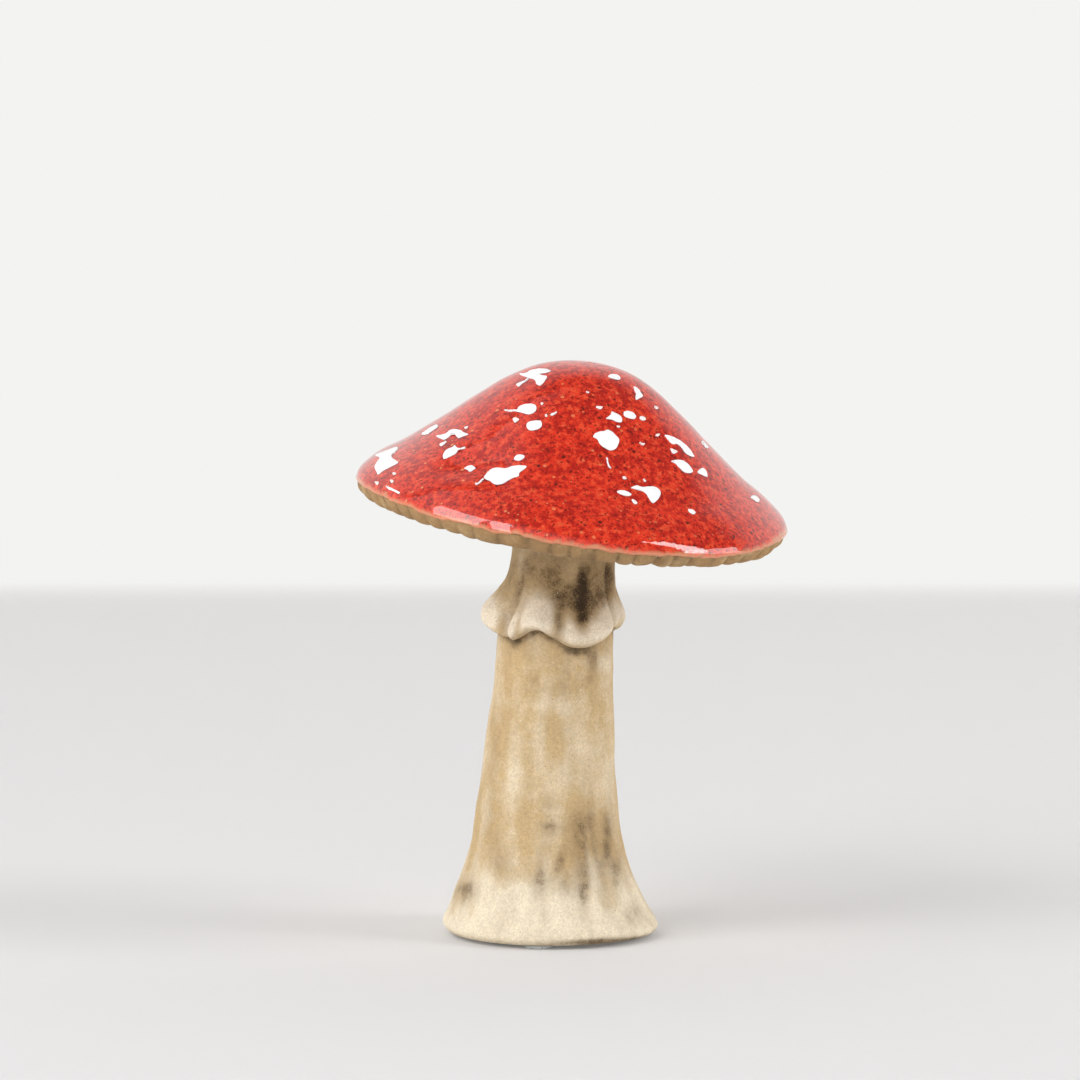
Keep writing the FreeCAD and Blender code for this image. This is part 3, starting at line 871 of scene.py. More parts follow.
def drawn_dab(outline):
    """The outline as a flat face, with a sunk ring outside it and two rising rings inside it."""
    bpy.ops.object.select_all(action="DESELECT")
    bpy.ops.mesh.primitive_circle_add(vertices=len(outline), radius=mm, fill_type="NGON")
    dab = bpy.context.object
    for corner, place in zip(dab.data.vertices, outline):
        corner.co = (place.x * mm, -place.y * mm, 0)
    bpy.ops.object.mode_set(mode="EDIT")
    bpy.ops.mesh.select_all(action="SELECT")
    soft = soft_edge_width * pixels * mm
    line = dark_line_width * pixels * mm
    bpy.ops.mesh.inset(use_even_offset=False, thickness=line, depth=sunk_edge * mm, use_outset=True)
    bpy.ops.mesh.inset(use_even_offset=False, thickness=0.4 * soft, depth=0.6 * dab_height * mm)
    bpy.ops.mesh.inset(use_even_offset=False, thickness=0.6 * soft, depth=0.3 * dab_height * mm)
    bpy.ops.mesh.quads_convert_to_tris(quad_method="BEAUTY", ngon_method="BEAUTY")
    bpy.ops.mesh.subdivide(number_cuts=1)
    bpy.ops.object.mode_set(mode="OBJECT")
    return dab


def spot_on_glaze(across, down, behind):
    """Place and normal where a pixel's line of sight meets the glaze, or its mirrored place behind."""
    way = sight(across, down)
    place, normal = glaze_tree.ray_cast(eye * mm, way)[:2]
    if place is None:
        nearest = eye + way * (Vector((0, 0, rim_height)) - eye).dot(way)
        place, normal = glaze_tree.find_nearest(nearest * mm)[:2]
    if behind:
        local = cap_frame.inverted() @ (place / mm)
        local = Matrix.Rotation(math.radians(back_turn), 3, "Z") @ Vector((local.x, -local.y, local.z))
        place, normal = glaze_tree.find_nearest(cap_frame @ local * mm)[:2]
    return place, normal


def laid_dab(number, outline, behind):
    """A dab laid on the glaze and closed underneath, with its height and size kept for the finish."""
    dab = drawn_dab(rounded(outline))
    dab.name = "dab_" + str(number) + ("_back" if behind else "")
    middle = sum((Vector(point) for point in outline), Vector((0, 0))) / len(outline)
    size = max((Vector(point) - middle).length for point in outline)
    edge = dab.data.attributes.new("edge", "FLOAT", "POINT")
    veil = dab.data.attributes.new("veil", "FLOAT", "POINT")
    for corner, edge_store, veil_store in zip(dab.data.vertices, edge.data, veil.data):
        height = corner.co.z / mm - 0.4 * sunk_edge
        flat = Vector((corner.co.x / mm, -corner.co.y / mm))
        out = (flat - middle).normalized() if (flat - middle).length > 0.01 else Vector((0, 0))
        # The dark line is painted darker towards the lower right, as the raised dab's shadow
        low_side = 0.5 + 0.5 * (0.45 * out.x + 0.89 * out.y)
        place, normal = spot_on_glaze(flat.x, flat.y, behind)
        edge_store.value = (1 - rise(height, 0.02, 0.14)) * rise(low_side, 0.0, 0.7)
        veil_store.value = 1 - rise(size, 2.0, 6.0)
        corner.co = place + normal * height * mm
    if behind:
        bpy.ops.object.mode_set(mode="EDIT")
        bpy.ops.mesh.select_all(action="SELECT")
        bpy.ops.mesh.flip_normals()
        bpy.ops.object.mode_set(mode="OBJECT")
    wall = dab.modifiers.new("underside", "SOLIDIFY")
    wall.thickness = 0.15 * mm
    wall.offset = -1.0
    bpy.ops.object.modifier_apply(modifier=wall.name)
    bpy.ops.object.shade_smooth()
    return dab


# %% Laying the dabs
dabs = [laid_dab(number, outline, False) for number, outline in enumerate(dab_outlines.values())]
for number, outline in enumerate(dab_outlines.values()):
    if 450 < outline[0][0] < 672 and outline[0][1] > 405:
        dabs.append(laid_dab(number, outline, True))
white_dabs = joined("white_dabs", dabs)
finished(white_dabs, "white_dabs", "white_dabs")
print("the dabs have", len(white_dabs.data.polygons), "faces")

# %% [markdown]
# ## The clear dots
#
# Three soft clear dots under the foot keep bare stoneware from scratching a table. Each is a disc that
# is sold on a sheet: flat where it sticks, with a domed edge. A cylinder is beveled at its lower rim.

# %% Clear dots
dot_radius = 4.0
dot_ring_radius = 20.2
first_dot_turn = -97.0


def clear_dot(turn):
    """One dot, on the ring under the foot."""
    bpy.ops.object.select_all(action="DESELECT")
    angle = math.radians(turn)
    across = (foot_middle + dot_ring_radius * math.cos(angle)) * mm
    behind = dot_ring_radius * math.sin(angle) * mm
    bpy.ops.mesh.primitive_cylinder_add(
        vertices=64,
        radius=dot_radius * mm,
        depth=dot_height * mm,
        location=(across, behind, dot_height * mm / 2),
    )
    dot = bpy.context.object
    bpy.ops.object.mode_set(mode="EDIT")
    bpy.ops.mesh.select_all(action="DESELECT")
    bpy.ops.object.mode_set(mode="OBJECT")
    for edge in dot.data.edges:
        edge.select = all(dot.data.vertices[corner].co.z < 0 for corner in edge.vertices)
    bpy.ops.object.mode_set(mode="EDIT")
    bpy.ops.mesh.bevel(offset=0.55 * mm, offset_type="OFFSET", segments=6, profile=0.5)
    bpy.ops.object.mode_set(mode="OBJECT")
    bpy.ops.object.transform_apply(location=True, rotation=True, scale=True)
    bpy.ops.object.shade_smooth_by_angle(angle=math.radians(50))
    return dot


dots = [clear_dot(first_dot_turn + 120 * number) for number in range(3)]
clear_feet = joined("clear_feet", dots)
finished(clear_feet, "clear_feet", "clear_feet")

# %% [markdown]
# ## Where the oxide stays, and where shade and highlights are painted
#
# Brown iron oxide was brushed over the bare clay and sponged off again, so it stays in hollows and
# leaves high places pale. Each clay piece gets two painted values, one for stain and one for paleness.
# Most comes from the shape itself. On the side that the photograph shows, listed smudges are added,
# each given by its pixel, its half width and height, its slant and its strength. The stain value also
# holds painted shade along and under the skirt's hem. Some smudges on the stem and skirt are painted
# shade under the hem, and some pale patches on the skirt are painted highlights on its bulges.

# %% Smudges, painted shade and painted highlights seen in the photograph
# Pixel across and down, half width, half height, slant in degrees, strength
# Some of these marks are painted shade on the stem under the skirt's hem and front lobe; the rest are oxide
stem_smudges_and_shade = (
    (466, 890, 13, 11, 20, 0.5), (500, 862, 11, 18, -20, 0.36), (592, 840, 30, 36, 0, 0.16),
    (493, 770, 6, 60, 3, 0.25), (551, 828, 12, 7, 0, 0.5), (538, 880, 8, 14, 0, 0.4),
    (540, 865, 4, 16, 0, 0.25), (559, 863, 5, 15, 20, 0.6), (565, 888, 8, 10, 0, 0.35),
    (583, 848, 5, 40, 0, 0.4), (583, 822, 12, 8, -10, 0.3), (586, 885, 5, 16, 10, 0.32),
    (607, 840, 5, 34, 2, 0.45), (616, 873, 5, 20, 0, 0.5), (632, 915, 9, 12, 20, 0.3),
    (593, 660, 5, 11, 0, 0.6), (577, 651, 9, 5, 0, 0.7), (534, 679, 6, 6, 30, 0.3),
    (590, 679, 4, 5, 0, 0.35), (516, 641, 5, 5, 0, 0.7), (600, 941, 42, 3, -3, 0.75),
    (545, 690, 30, 6, 0, 0.15), (548, 803, 9, 6, 0, 0.3),
)
stem_pale_patches = (
    (560, 706, 22, 12, 0, 0.6), (512, 740, 12, 60, 0, 0.3), (603, 663, 8, 8, 0, 0.6),
    (520, 905, 40, 26, 0, 0.8), (590, 925, 40, 14, 0, 0.9), (478, 930, 30, 10, 0, 0.7),
    (550, 775, 26, 36, 0, 0.45), (600, 770, 12, 40, 0, 0.4), (520, 778, 13, 26, 0, 0.12),
    (605, 925, 6, 18, -40, 0.8),
)
# One of these marks, low under the front lobe, is painted shade under the hem; the rest are oxide
skirt_smudges_and_shade = (
    (583, 583, 6, 15, 2, 1.1), (583, 616, 9, 10, 0, 1.05), (584, 600, 8, 14, 0, 0.75),
    (554, 577, 11, 17, 0, 0.35), (534, 566, 12, 14, 0, 0.25), (508, 583, 7, 34, 17, 0.16),
    (502, 617, 4, 14, 5, 0.25), (517, 600, 4, 12, 8, 0.2), (540, 574, 20, 18, 0, 0.2),
    (575, 596, 20, 26, 0, 0.25), (609, 578, 4, 16, -5, 0.5), (603, 578, 12, 25, 0, 0.4),
    (618, 592, 4, 24, -8, 0.55), (557, 614, 6, 16, -5, 0.45), (567, 600, 13, 12, 0, 0.75),
    (598, 600, 9, 12, 0, 0.65), (577, 651, 10, 3, 0, 0.4),
)
# Some of these patches are painted highlights on the bulges of the hem, such as the front lobe's; the rest
# are sponged pale clay
skirt_pale_patches_and_highlights = (
    (536, 611, 17, 18, 0, 1.2), (588, 636, 26, 10, -12, 0.5), (609, 615, 9, 14, 20, 1.0),
    (566, 632, 9, 9, 20, 0.8), (488, 613, 7, 18, 0, 1.2), (509, 626, 5, 14, 0, 1.0),
    (520, 572, 3, 20, 3, 0.35),
)
mark_falloff = 0.95


def smudge_shade_and_highlight(point, normal, smudges):
    """Strength of the listed marks at a point, on the side that the camera sees: oxide smudges, pale
    patches, painted shade and painted highlights.
    """
    facing = rise(normal.dot((eye - point).normalized()), 0.0, 0.25)
    if facing == 0.0:
        return 0.0
    across, down = seen_at(point)
    strength = 0.0
    for middle_across, middle_down, width, height, slant, amount in smudges:
        angle = math.radians(slant)
        x, y = across - middle_across, down - middle_down
        along = (x * math.cos(angle) + y * math.sin(angle)) / width
        up = (y * math.cos(angle) - x * math.sin(angle)) / height
        strength += amount * math.exp(-mark_falloff * (along * along + up * up))
    return facing * strength


# %% Stains and painted shade on the stem


def stem_stain_and_shade(point, normal):
    """Oxide on the stem: in the roots' grooves, under the skirt and round the sole. Painted shade at the
    hem.
    """
    turn = stem_turn(point)
    behind = rise(abs(turn), 70, 110)
    grooves = max(0.0, -root_relief(turn, point.z)) * (0.4 + 0.8 * behind)
    drawn = Vector((point.x, point.y, point.z / 5))
    clouds = max(0.0, lump(point, 11, 21)) * 0.4
    clouds += max(0.0, lump(drawn, 3.2, 22)) * 0.5 + max(0.0, lump(drawn, 1.4, 27)) * 0.35
    # Painted shade, with some oxide, in a band along the skirt's hem
    hem = hump(point.z - dial(hem_height_rows, turn) + 0.3, 2.2) * (0.8 + 0.5 * lump(point, 4, 28))
    sole = (1 - rise(point.z, 1.0, 2.6)) * (0.35 + 0.5 * max(0.0, lump(point, 6, 23)))
    # Oxide and painted shade on the stem just under the skirt
    under_skirt_stain_and_shade = 0.35 * rise(point.z, 66, 74) * (0.5 + lump(point, 5, 24))
    clouds *= 0.6 + 0.4 * behind
    shape_stain_and_shade = max(0.0, grooves + clouds + sole + hem + under_skirt_stain_and_shade)
    return shape_stain_and_shade + 1.6 * smudge_shade_and_highlight(point, normal, stem_smudges_and_shade)


def stem_pale(point, normal):
    """Where the clay of the stem is paler: low on the foot and on its ridges."""
    turn = stem_turn(point)
    foot = 0.85 * (1 - rise(point.z + 9 * lump(point, 9, 25), 4, 27))
    drawn = Vector((point.x, point.y, point.z / 5))
    ridges = max(0.0, root_relief(turn, point.z)) * 0.8 + 0.5 * lump(drawn, 4, 26)
    side = 0.45 * rise(abs(turn), 40, 85) * rise(point.z, 25, 45) * (1 - rise(point.z, 70, 80))
    return foot + ridges + side + smudge_shade_and_highlight(point, normal, stem_pale_patches)


paint(stem, "stain_and_shade", stem_stain_and_shade)
paint(stem, "pale", stem_pale)

# %% Stains and painted shade on the skirt and the coil


def skirt_stain_and_shade(point, normal):
    """Oxide on the skirt: heavy on the neck and in the folds, none on the bulges of the hem. Painted shade
    under the hem.
    """
    turn = stem_turn(point)
    above = point.z - dial(hem_height_rows, turn)
    neck = 0.5 * rise(above + 3 * lump(point, 6, 31), 6, 13)
    folds = 0.4 * max(0.0, -fold_relief(turn, point.z))
    clouds = 0.25 * lump(point, 4, 32)
    # Painted shade, with some oxide, on the underside of the hem
    under = 0.35 * (1 - rise(above, 0.2, 1.2))
    return max(0.0, neck + folds + clouds + under + smudge_shade_and_highlight(point, normal, skirt_smudges_and_shade))


def skirt_pale_and_highlight(point, normal):
    """Where sponging has left the skirt pale, and where highlight is painted: on the bulges above the hem.
    """
    turn = stem_turn(point)
    above = point.z - dial(hem_height_rows, turn)
    # Paler on the bulges: sponged clay with painted highlight
    bulge = hump(above - 4.0, 5.0) * rise(fold_relief(turn, point.z), -0.5, 0.2)
    return 0.8 * bulge + smudge_shade_and_highlight(point, normal, skirt_pale_patches_and_highlights)


for piece in (skirt, neck_coil):
    paint(piece, "stain_and_shade", skirt_stain_and_shade)
    paint(piece, "pale", skirt_pale_and_highlight)

# %% [markdown]
# ## Finishes
#
# Small helpers build node trees. `add` makes a node and sets or links its inputs in one call, `times`,
# `plus` and `minus` do sums, `stretched` moves a value from one range to another, and `colour` turns the
# familiar 0 to 255 numbers into the linear values that shaders expect.

# %% Node helpers


def colour(red, green, blue):
    """A linear colour from 0 to 255 screen values."""
    values = [value / 255 for value in (red, green, blue)]
    return tuple(v / 12.92 if v <= 0.04045 else ((v + 0.055) / 1.055) ** 2.4 for v in values) + (1.0,)


def fill(tree, node, inputs):
    """Sets each named input of a node to a value, or links it to a socket."""
    for name, value in inputs.items():
        if isinstance(value, bpy.types.NodeSocket):
            tree.links.new(value, node.inputs[name])
        else:
            node.inputs[name].default_value = value


def add(tree, kind, inputs=(), **settings):
    """A new node, with settings, and with inputs set to a value or linked to a socket."""
    node = tree.nodes.new("ShaderNode" + kind)
    for name, value in settings.items():
        setattr(node, name, value)
    fill(tree, node, dict(inputs))
    return node


def math_of(tree, operation, first, second=0.0, clamp=False):
    """The result of a Math node."""
    node = add(tree, "Math", {0: first, 1: second}, operation=operation, use_clamp=clamp)
    return node.outputs[0]


def times(tree, first, second, clamp=False):
    """The product of two values."""
    return math_of(tree, "MULTIPLY", first, second, clamp)


def plus(tree, first, second, clamp=False):
    """The sum of two values."""
    return math_of(tree, "ADD", first, second, clamp)


def minus(tree, first, second):
    """The difference of two values."""
    return math_of(tree, "SUBTRACT", first, second)


def stretched(tree, value, low, high, new_low=0.0, new_high=1.0, smooth=False):
    """A value moved from one range to another, clamped."""
    sockets = {"Value": value, "From Min": low, "From Max": high, "To Min": new_low, "To Max": new_high}
    kind = "SMOOTHSTEP" if smooth else "LINEAR"
    return add(tree, "MapRange", sockets, interpolation_type=kind).outputs["Result"]


def mixed(tree, share, first, second, blend="MIX"):
    """Two colours mixed by a share."""
    node = tree.nodes.new("ShaderNodeMix")
    node.data_type = "RGBA"
    node.blend_type = blend
    fill(tree, node, {0: share, 6: first, 7: second})
    return node.outputs[2]


def noise_of(tree, place, size, detail=3.0, rough=0.5, offset=0.0):
    """Noise between 0 and 1 with features of a size in mm, at a place in mm."""
    moved = add(tree, "VectorMath", {0: place, 1: (offset, offset, offset)}, operation="ADD").outputs[0]
    sockets = {"Vector": moved, "Scale": 1 / size, "Detail": detail, "Roughness": rough}
    return add(tree, "TexNoise", sockets).outputs["Fac"]


def specks(tree, place, spacing, size, share, offset=0.0):
    """Round specks: 1 in a speck and 0 outside. Only a share of the cells holds one."""
    moved = add(tree, "VectorMath", {0: place, 1: (offset, offset, offset)}, operation="ADD").outputs[0]
    cells = add(tree, "TexVoronoi", {"Vector": moved, "Scale": 1 / spacing})
    apart = times(tree, cells.outputs["Distance"], spacing)
    chosen = add(tree, "SeparateColor", {"Color": cells.outputs["Color"]})
    reach = plus(tree, times(tree, chosen.outputs["Green"], size), size * 0.35)
    inside = minus(tree, 1.0, math_of(tree, "DIVIDE", apart, reach))
    present = math_of(tree, "LESS_THAN", chosen.outputs["Red"], share)
    return times(tree, stretched(tree, inside, 0.0, 0.35), present)


def new_finish(name):
    """A material with its tree, its shader and the object's coordinates in mm."""
    material = bpy.data.materials.new(name)
    material.use_nodes = True
    tree = material.node_tree
    place = add(tree, "TexCoord").outputs["Object"]
    place = add(tree, "VectorMath", {0: place, "Scale": 1 / mm}, operation="SCALE").outputs[0]
    return material, tree, tree.nodes["Principled BSDF"], place


# %% [markdown]
# ## Bare clay
#
# Stoneware is coarse: a tan body with dark iron grains, pale grog and a sandy skin. Stem, skirt, coil
# and plate share it, so it is one node group. It mixes a darker and a paler clay, then lays the oxide
# over them where the stain value says, broken up by the grain, and gives a height for the bump. The
# stain value also holds painted shade under the skirt's hem, so the oxide colours draw that shade too.

# %% Clay group


def clay_group():
    """Node group of the clay's colour, roughness and height."""
    group = bpy.data.node_groups.new("bare_clay", "ShaderNodeTree")
    for name, kind in (
        ("Place", "NodeSocketVector"),
        ("Clay", "NodeSocketColor"),
        ("Pale Clay", "NodeSocketColor"),
        ("Thin Oxide", "NodeSocketColor"),
        ("Oxide", "NodeSocketColor"),
        ("Stain And Shade", "NodeSocketFloat"),
        ("Pale", "NodeSocketFloat"),
    ):
        group.interface.new_socket(name, in_out="INPUT", socket_type=kind)
    for name, kind in (
        ("Color", "NodeSocketColor"),
        ("Roughness", "NodeSocketFloat"),
        ("Height", "NodeSocketFloat"),
    ):
        group.interface.new_socket(name, in_out="OUTPUT", socket_type=kind)
    enter = group.nodes.new("NodeGroupInput").outputs
    leave = group.nodes.new("NodeGroupOutput").inputs
    place = enter["Place"]
    broad = noise_of(group, place, 7.0, 4.0, 0.6)
    middle = noise_of(group, place, 2.2, 5.0, 0.6, 40.0)
    grain = noise_of(group, place, 0.34, 3.0, 0.65, 80.0)
    sand = noise_of(group, place, 0.16, 2.0, 0.6, 120.0)
    pebbles = noise_of(group, place, 0.95, 3.0, 0.55, 200.0)

    drift = times(group, minus(group, broad, 0.5), 1.1)
    drift = plus(group, drift, times(group, minus(group, middle, 0.5), 0.7))
    paleness = plus(group, enter["Pale"], drift, clamp=True)
    body = mixed(group, paleness, enter["Clay"], enter["Pale Clay"])

    broken = stretched(group, middle, 0.25, 0.75, 0.55, 1.25)
    gritty = stretched(group, grain, 0.25, 0.75, 0.5, 1.4)
    # The stain value also holds painted shade, which these oxide washes draw
    wash_and_shade = times(group, enter["Stain And Shade"], times(group, broken, gritty))
    thin_wash_and_shade = times(group, wash_and_shade, 0.9, clamp=True)
    thick_wash_and_shade = stretched(group, wash_and_shade, 0.55, 1.7, 0.0, 0.92)
    stained_and_shaded = mixed(group, times(group, thin_wash_and_shade, 0.8), body, enter["Thin Oxide"])
    stained_and_shaded = mixed(group, thick_wash_and_shade, stained_and_shaded, enter["Oxide"])

    freckle = noise_of(group, place, 0.8, 4.0, 0.65, 160.0)
    shade = stretched(group, grain, 0.3, 0.7, 0.8, 1.12)
    shade = times(group, shade, stretched(group, freckle, 0.3, 0.7, 0.86, 1.08))
    grey = add(group, "CombineColor", {0: shade, 1: shade, 2: shade}).outputs[0]
    shaded = mixed(group, 1.0, stained_and_shaded, grey, "MULTIPLY")
    iron = specks(group, place, 1.5, 0.13, 0.5, 11.0)
    grog = specks(group, place, 2.1, 0.16, 0.45, 23.0)
    dotted = mixed(group, times(group, iron, 0.7), shaded, colour(72, 52, 36))
    dotted = mixed(group, times(group, grog, 0.55), dotted, colour(246, 238, 222))
    group.links.new(dotted, leave["Color"])

    rough = stretched(group, grain, 0.2, 0.8, 0.72, 0.92)
    group.links.new(rough, leave["Roughness"])
    height = plus(group, times(group, grain, 0.7), pebbles)
    height = plus(group, height, times(group, middle, 0.8))
    height = plus(group, height, times(group, sand, 0.25))
    height = minus(group, height, times(group, iron, 0.3))
    group.links.new(plus(group, height, times(group, grog, 0.25)), leave["Height"])
    return group


bare_clay = clay_group()


def clay_finish(name, clay, pale_clay, thin_oxide, oxide, relief):
    """A clay material that reads the painted stain and pale values; the stain value also holds painted
    shade, and on the skirt the pale value holds painted highlight.
    """
    material, tree, shader, place = new_finish(name)
    stain_and_shade = add(tree, "Attribute", attribute_name="stain_and_shade").outputs["Fac"]
    pale = add(tree, "Attribute", attribute_name="pale").outputs["Fac"]
    group = tree.nodes.new("ShaderNodeGroup")
    group.node_tree = bare_clay
    fill(tree, group, {"Place": place, "Stain And Shade": stain_and_shade, "Pale": pale, "Clay": clay, "Pale Clay": pale_clay})
    fill(tree, group, {"Thin Oxide": thin_oxide, "Oxide": oxide})
    skin = group.outputs
    bump = add(tree, "Bump", {"Height": skin["Height"], "Distance": relief * mm, "Strength": 1.0})
    fill(tree, shader, {"Base Color": skin["Color"], "Roughness": skin["Roughness"]})
    fill(tree, shader, {"Normal": bump.outputs["Normal"], "Specular IOR Level": 0.3})
    return material


# The oxide colours also draw the painted shade that the stain value holds
thin_oxide = colour(134, 108, 74)
stem_finish = clay_finish(
    "stem_clay", colour(200, 172, 128), colour(236, 222, 196), thin_oxide, colour(88, 74, 54), 0.25
)
warm_oxide = colour(136, 106, 68)
skirt_finish = clay_finish(
    "skirt_clay", colour(196, 170, 128), colour(236, 222, 200), warm_oxide, colour(38, 24, 10), 0.18
)
plate_finish = clay_finish(
    "gill_clay", colour(168, 132, 90), colour(206, 176, 130), thin_oxide, colour(84, 64, 44), 0.18
)
stem.data.materials.append(stem_finish)
skirt.data.materials.append(skirt_finish)
neck_coil.data.materials.append(skirt_finish)
gill_plate.data.materials.append(plate_finish)
cap_dome.data.materials.append(plate_finish)

# %% [markdown]
# ## Red glaze
#
# The glaze is clear red glass with iron in it. Looked at closely it is cloudy: orange where it is thin
# over grog and dark red where it pooled, with black-brown iron specks, denser to the right. At its lower
# edge it thins out and the clay shows through. The gloss comes from a clear coat over it.

# %% Glaze finish
material, tree, shader, place = new_finish("red_glaze")
thin = add(tree, "Attribute", attribute_name="thin").outputs["Fac"]
clouds = noise_of(tree, place, 5.0, 4.0, 0.6)
mottle = noise_of(tree, place, 1.6, 5.0, 0.66, 30.0)
fine = noise_of(tree, place, 0.95, 4.0, 0.62, 60.0)
sides = add(tree, "SeparateXYZ", {0: place}).outputs[0]
right_side = stretched(tree, sides, -10.0, 45.0)

depth = plus(tree, times(tree, clouds, 0.3), times(tree, mottle, 0.7))
pooled = stretched(tree, depth, 0.46, 0.58, 0.0, 0.95, smooth=True)
bright = stretched(tree, mottle, 0.34, 0.47, 0.8, 0.0)
red = mixed(tree, pooled, colour(214, 52, 28), colour(166, 28, 17))
red = mixed(tree, bright, red, colour(224, 88, 52))
red = mixed(tree, stretched(tree, fine, 0.55, 0.65, 0.0, 0.8), red, colour(104, 18, 12))

speck_share = stretched(tree, right_side, 0.0, 1.0, 0.25, 0.8)
big = add(tree, "TexVoronoi", {"Vector": place, "Scale": 1 / 2.0})
big_random = add(tree, "SeparateColor", {"Color": big.outputs["Color"]})
big_size = stretched(tree, big_random.outputs["Green"], 0.0, 1.0, 0.16, 0.58)
uneven = times(tree, fine, 0.35)
big_apart = plus(tree, times(tree, big.outputs["Distance"], 2.0), uneven)
big_inside = stretched(tree, minus(tree, plus(tree, big_size, 0.2), big_apart), 0.0, 0.22)
big_present = math_of(tree, "LESS_THAN", big_random.outputs["Red"], speck_share)
big_speck = times(tree, big_inside, big_present)
small_speck = specks(tree, place, 0.9, 0.26, 0.75, 17.0)
red = mixed(tree, times(tree, small_speck, 0.8), red, colour(84, 14, 9))
red = mixed(tree, times(tree, big_speck, 0.85), red, colour(58, 22, 14))
fleck = specks(tree, place, 2.2, 0.42, 0.5, 51.0)
left_side = stretched(tree, sides, 30.0, -30.0, 0.3, 0.9)
red = mixed(tree, times(tree, fleck, left_side), red, colour(226, 138, 92))

worn = plus(tree, thin, times(tree, minus(tree, mottle, 0.5), 1.4))
worn = times(tree, stretched(tree, worn, 0.35, 0.95), stretched(tree, thin, 0.02, 0.25))
red = mixed(tree, times(tree, worn, 0.85), red, colour(206, 138, 98))
ripple = noise_of(tree, place, 2.4, 2.0, 0.5, 90.0)
bump = add(tree, "Bump", {"Height": ripple, "Distance": 0.05 * mm, "Strength": 1.0}).outputs["Normal"]
fill(tree, shader, {"Base Color": red, "Roughness": 0.22, "Specular IOR Level": 0.0, "Normal": bump})
fill(tree, shader, {"Coat Weight": 1.0, "Coat Roughness": 0.045, "Coat IOR": 1.68, "Coat Normal": bump})
glaze.data.materials.append(material)

# %% [markdown]
# ## White glaze and clear dots
#
# The dabs are opaque white glass. The finish reads `edge`, to draw the thin dark line where white meets
# red, painted darker towards the lower right as the dab's shadow, and `veil`, because the smallest drops
# are thin and look pink. The dots are clear soft plastic.

# %% Dab finish
material, tree, shader, place = new_finish("white_dabs")
edge = add(tree, "Attribute", attribute_name="edge").outputs["Fac"]
veil = add(tree, "Attribute", attribute_name="veil").outputs["Fac"]
cloud = noise_of(tree, place, 1.8, 3.0)
greyer = stretched(tree, cloud, 0.35, 0.65, 0.0, 0.25)
white = mixed(tree, greyer, colour(248, 247, 248), colour(238, 236, 240))
white = mixed(tree, times(tree, veil, 0.45), white, colour(240, 196, 180))
# Dark line where white meets red, painted darker towards the lower right as the dab's shadow
line_and_shadow_strength = times(tree, edge, stretched(tree, cloud, 0.35, 0.6, 0.55, 1.0))
white = mixed(tree, line_and_shadow_strength, white, colour(84, 22, 18))
fill(tree, shader, {"Base Color": white, "Roughness": 0.18, "Coat Weight": 1.0, "Coat Roughness": 0.05})
white_dabs.data.materials.append(material)

# %% Clear dot finish
material, tree, shader, place = new_finish("clear_dots")
haze = noise_of(tree, place, 1.5, 2.0)
dull = stretched(tree, haze, 0.3, 0.7, 0.2, 0.4)
fill(tree, shader, {"Base Color": colour(240, 243, 242), "Roughness": dull})
fill(tree, shader, {"Transmission Weight": 0.55, "IOR": 1.49})
clear_feet.data.materials.append(material)

# %% [markdown]
# ## Floor, backdrop and light
#
# The floor curves up into a pale wall, so no corner shows. The light is soft and comes from all round,
# a little stronger from the left, where a window stood: its panes show as bars on the glossy rim. A
# smaller one on the right gives the second bar. Overhead it is dim, as a room's ceiling is, so that the
# glaze looks deep from the front and hazy only near its outline.

# %% Backdrop
bpy.ops.object.select_all(action="DESELECT")
bpy.ops.mesh.primitive_plane_add(size=1)
backdrop = bpy.context.object
backdrop.name = "backdrop"
bpy.ops.object.mode_set(mode="EDIT")
bpy.ops.mesh.select_all(action="SELECT")
bpy.ops.transform.resize(value=(8, 3.2, 1))
bpy.ops.transform.translate(value=(0, -0.9, -0.02 * mm))
bpy.ops.mesh.select_all(action="DESELECT")
bpy.ops.object.mode_set(mode="OBJECT")
for edge in backdrop.data.edges:
    edge.select = all(backdrop.data.vertices[corner].co.y > 0 for corner in edge.vertices)
bpy.ops.object.mode_set(mode="EDIT")
cove_radius = 0.2
cove_steps = 24
for step in range(cove_steps):
    turn = math.radians(90) * (step + 0.5) / cove_steps
    length = cove_radius * math.radians(90) / cove_steps
    move = (0, length * math.cos(turn), length * math.sin(turn))
    bpy.ops.mesh.extrude_region_move(TRANSFORM_OT_translate={"value": move})
bpy.ops.mesh.extrude_region_move(TRANSFORM_OT_translate={"value": (0, 0, 3.0)})
bpy.ops.object.mode_set(mode="OBJECT")
bpy.ops.object.shade_smooth()

material = bpy.data.materials.new("backdrop")
material.use_nodes = True
tree = material.node_tree
shader = tree.nodes["Principled BSDF"]
place = add(tree, "SeparateXYZ", {0: add(tree, "TexCoord").outputs["Object"]}).outputs
sideways, upright = place[0], place[2]
on_wall = stretched(tree, upright, 0.0, 0.005, 0.15, 1.0, smooth=True)
fill(tree, shader, {"Roughness": 0.9, "Specular IOR Level": 0.1})
rays = add(tree, "LightPath").outputs
floor_colour = mixed(tree, rays["Is Camera Ray"], colour(240, 239, 238), colour(218, 217, 217))
tree.links.new(floor_colour, shader.inputs["Base Color"])
# Camera, glossy and transmission rays see the wall glow; all others find a plain pale surface
seen = plus(tree, rays["Is Camera Ray"], rays["Is Glossy Ray"])
seen = plus(tree, seen, rays["Is Transmission Ray"], clamp=True)
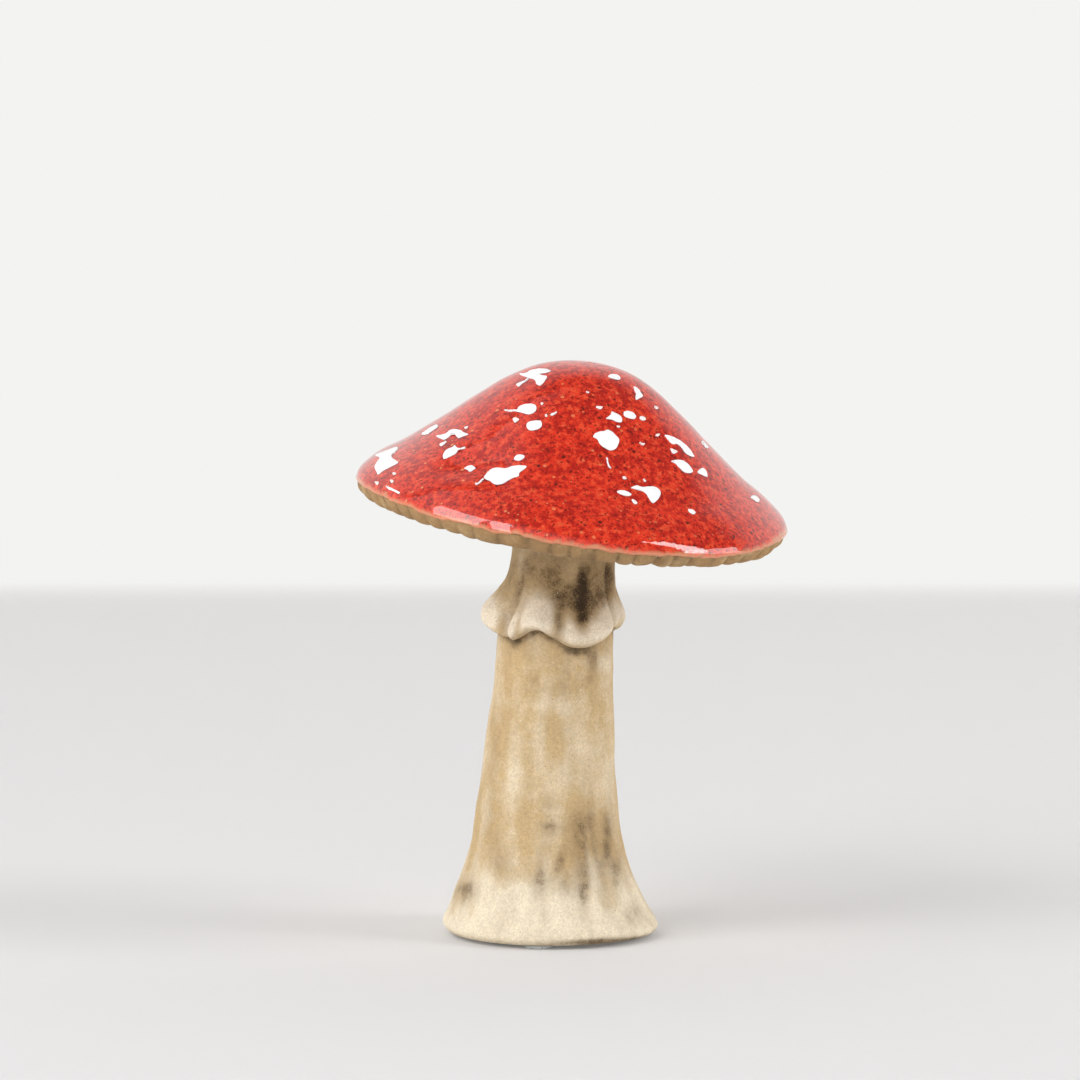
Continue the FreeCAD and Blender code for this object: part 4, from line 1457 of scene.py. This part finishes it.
# All but the camera's rays find it dimmer high up, soonest on the right, so the red stays deep there
fade_height = times(tree, upright, stretched(tree, sideways, -1.0, 0.2, 0.5, 1.0))
upper_wall = stretched(tree, fade_height, 0.45, 1.7, 1.0, 0.16, smooth=True)
wall_light = math_of(tree, "MAXIMUM", upper_wall, rays["Is Camera Ray"])
tone = mixed(tree, stretched(tree, upright, 0.0, 0.005), colour(230, 229, 227), colour(243, 243, 241))
pale_wall = add(tree, "Emission", {"Color": tone, "Strength": wall_light})
wall = add(tree, "MixShader", {0: times(tree, seen, on_wall)})
tree.links.new(shader.outputs[0], wall.inputs[1])
tree.links.new(pale_wall.outputs[0], wall.inputs[2])
# From behind and from below the backdrop is clear, so the object can be looked at from there too
see_through = add(tree, "BsdfTransparent")
sides = add(tree, "MixShader", {0: add(tree, "NewGeometry").outputs["Backfacing"]})
tree.links.new(wall.outputs[0], sides.inputs[1])
tree.links.new(see_through.outputs[0], sides.inputs[2])
tree.links.new(sides.outputs[0], tree.nodes["Material Output"].inputs["Surface"])
backdrop.data.materials.append(material)

# %% Light
world = bpy.data.worlds.new("studio")
bpy.context.scene.world = world
world.use_nodes = True
tree = world.node_tree
surroundings = tree.nodes["Background"]
room = add(tree, "TexCoord").outputs["Generated"]
dim_place = tuple(Vector((0.48, -0.15, 0.86)).normalized())
towards_dim = add(tree, "VectorMath", {0: room, 1: dim_place}, operation="DOT_PRODUCT").outputs["Value"]
strength = stretched(tree, towards_dim, 0.45, 0.88, 0.84, 0.14, smooth=True)
tree.links.new(strength, surroundings.inputs["Strength"])
surroundings.inputs["Color"].default_value = (1.0, 1.0, 1.0, 1.0)


def soft_lamp(name, turn, lift, away, width, height, watts):
    """A flat lamp, given by degrees from the front, degrees up and metres away. It faces the cap."""
    lamp = bpy.data.objects.new(name, bpy.data.lights.new(name, "AREA"))
    bpy.context.scene.collection.objects.link(lamp)
    turn, lift = math.radians(turn), math.radians(lift)
    level_away = away * math.cos(lift)
    aim = Vector((0, 0, 0.09))
    offset = (math.sin(turn) * level_away, -math.cos(turn) * level_away, away * math.sin(lift))
    lamp.location = aim + Vector(offset)
    lamp.rotation_euler = (aim - lamp.location).to_track_quat("-Z", "Y").to_euler()
    lamp.data.shape = "RECTANGLE"
    lamp.data.size = width
    lamp.data.size_y = height
    lamp.data.energy = watts


soft_lamp("window_wide", -61, 31, 1.7, 0.85, 1.35, 13.5)
soft_lamp("window_narrow", -33, 31, 1.7, 0.32, 1.35, 6)
soft_lamp("far_window", 74, 35, 1.7, 0.4, 1.0, 9)
soft_lamp("side_light", 84, 8, 1.7, 1.0, 0.9, 9)
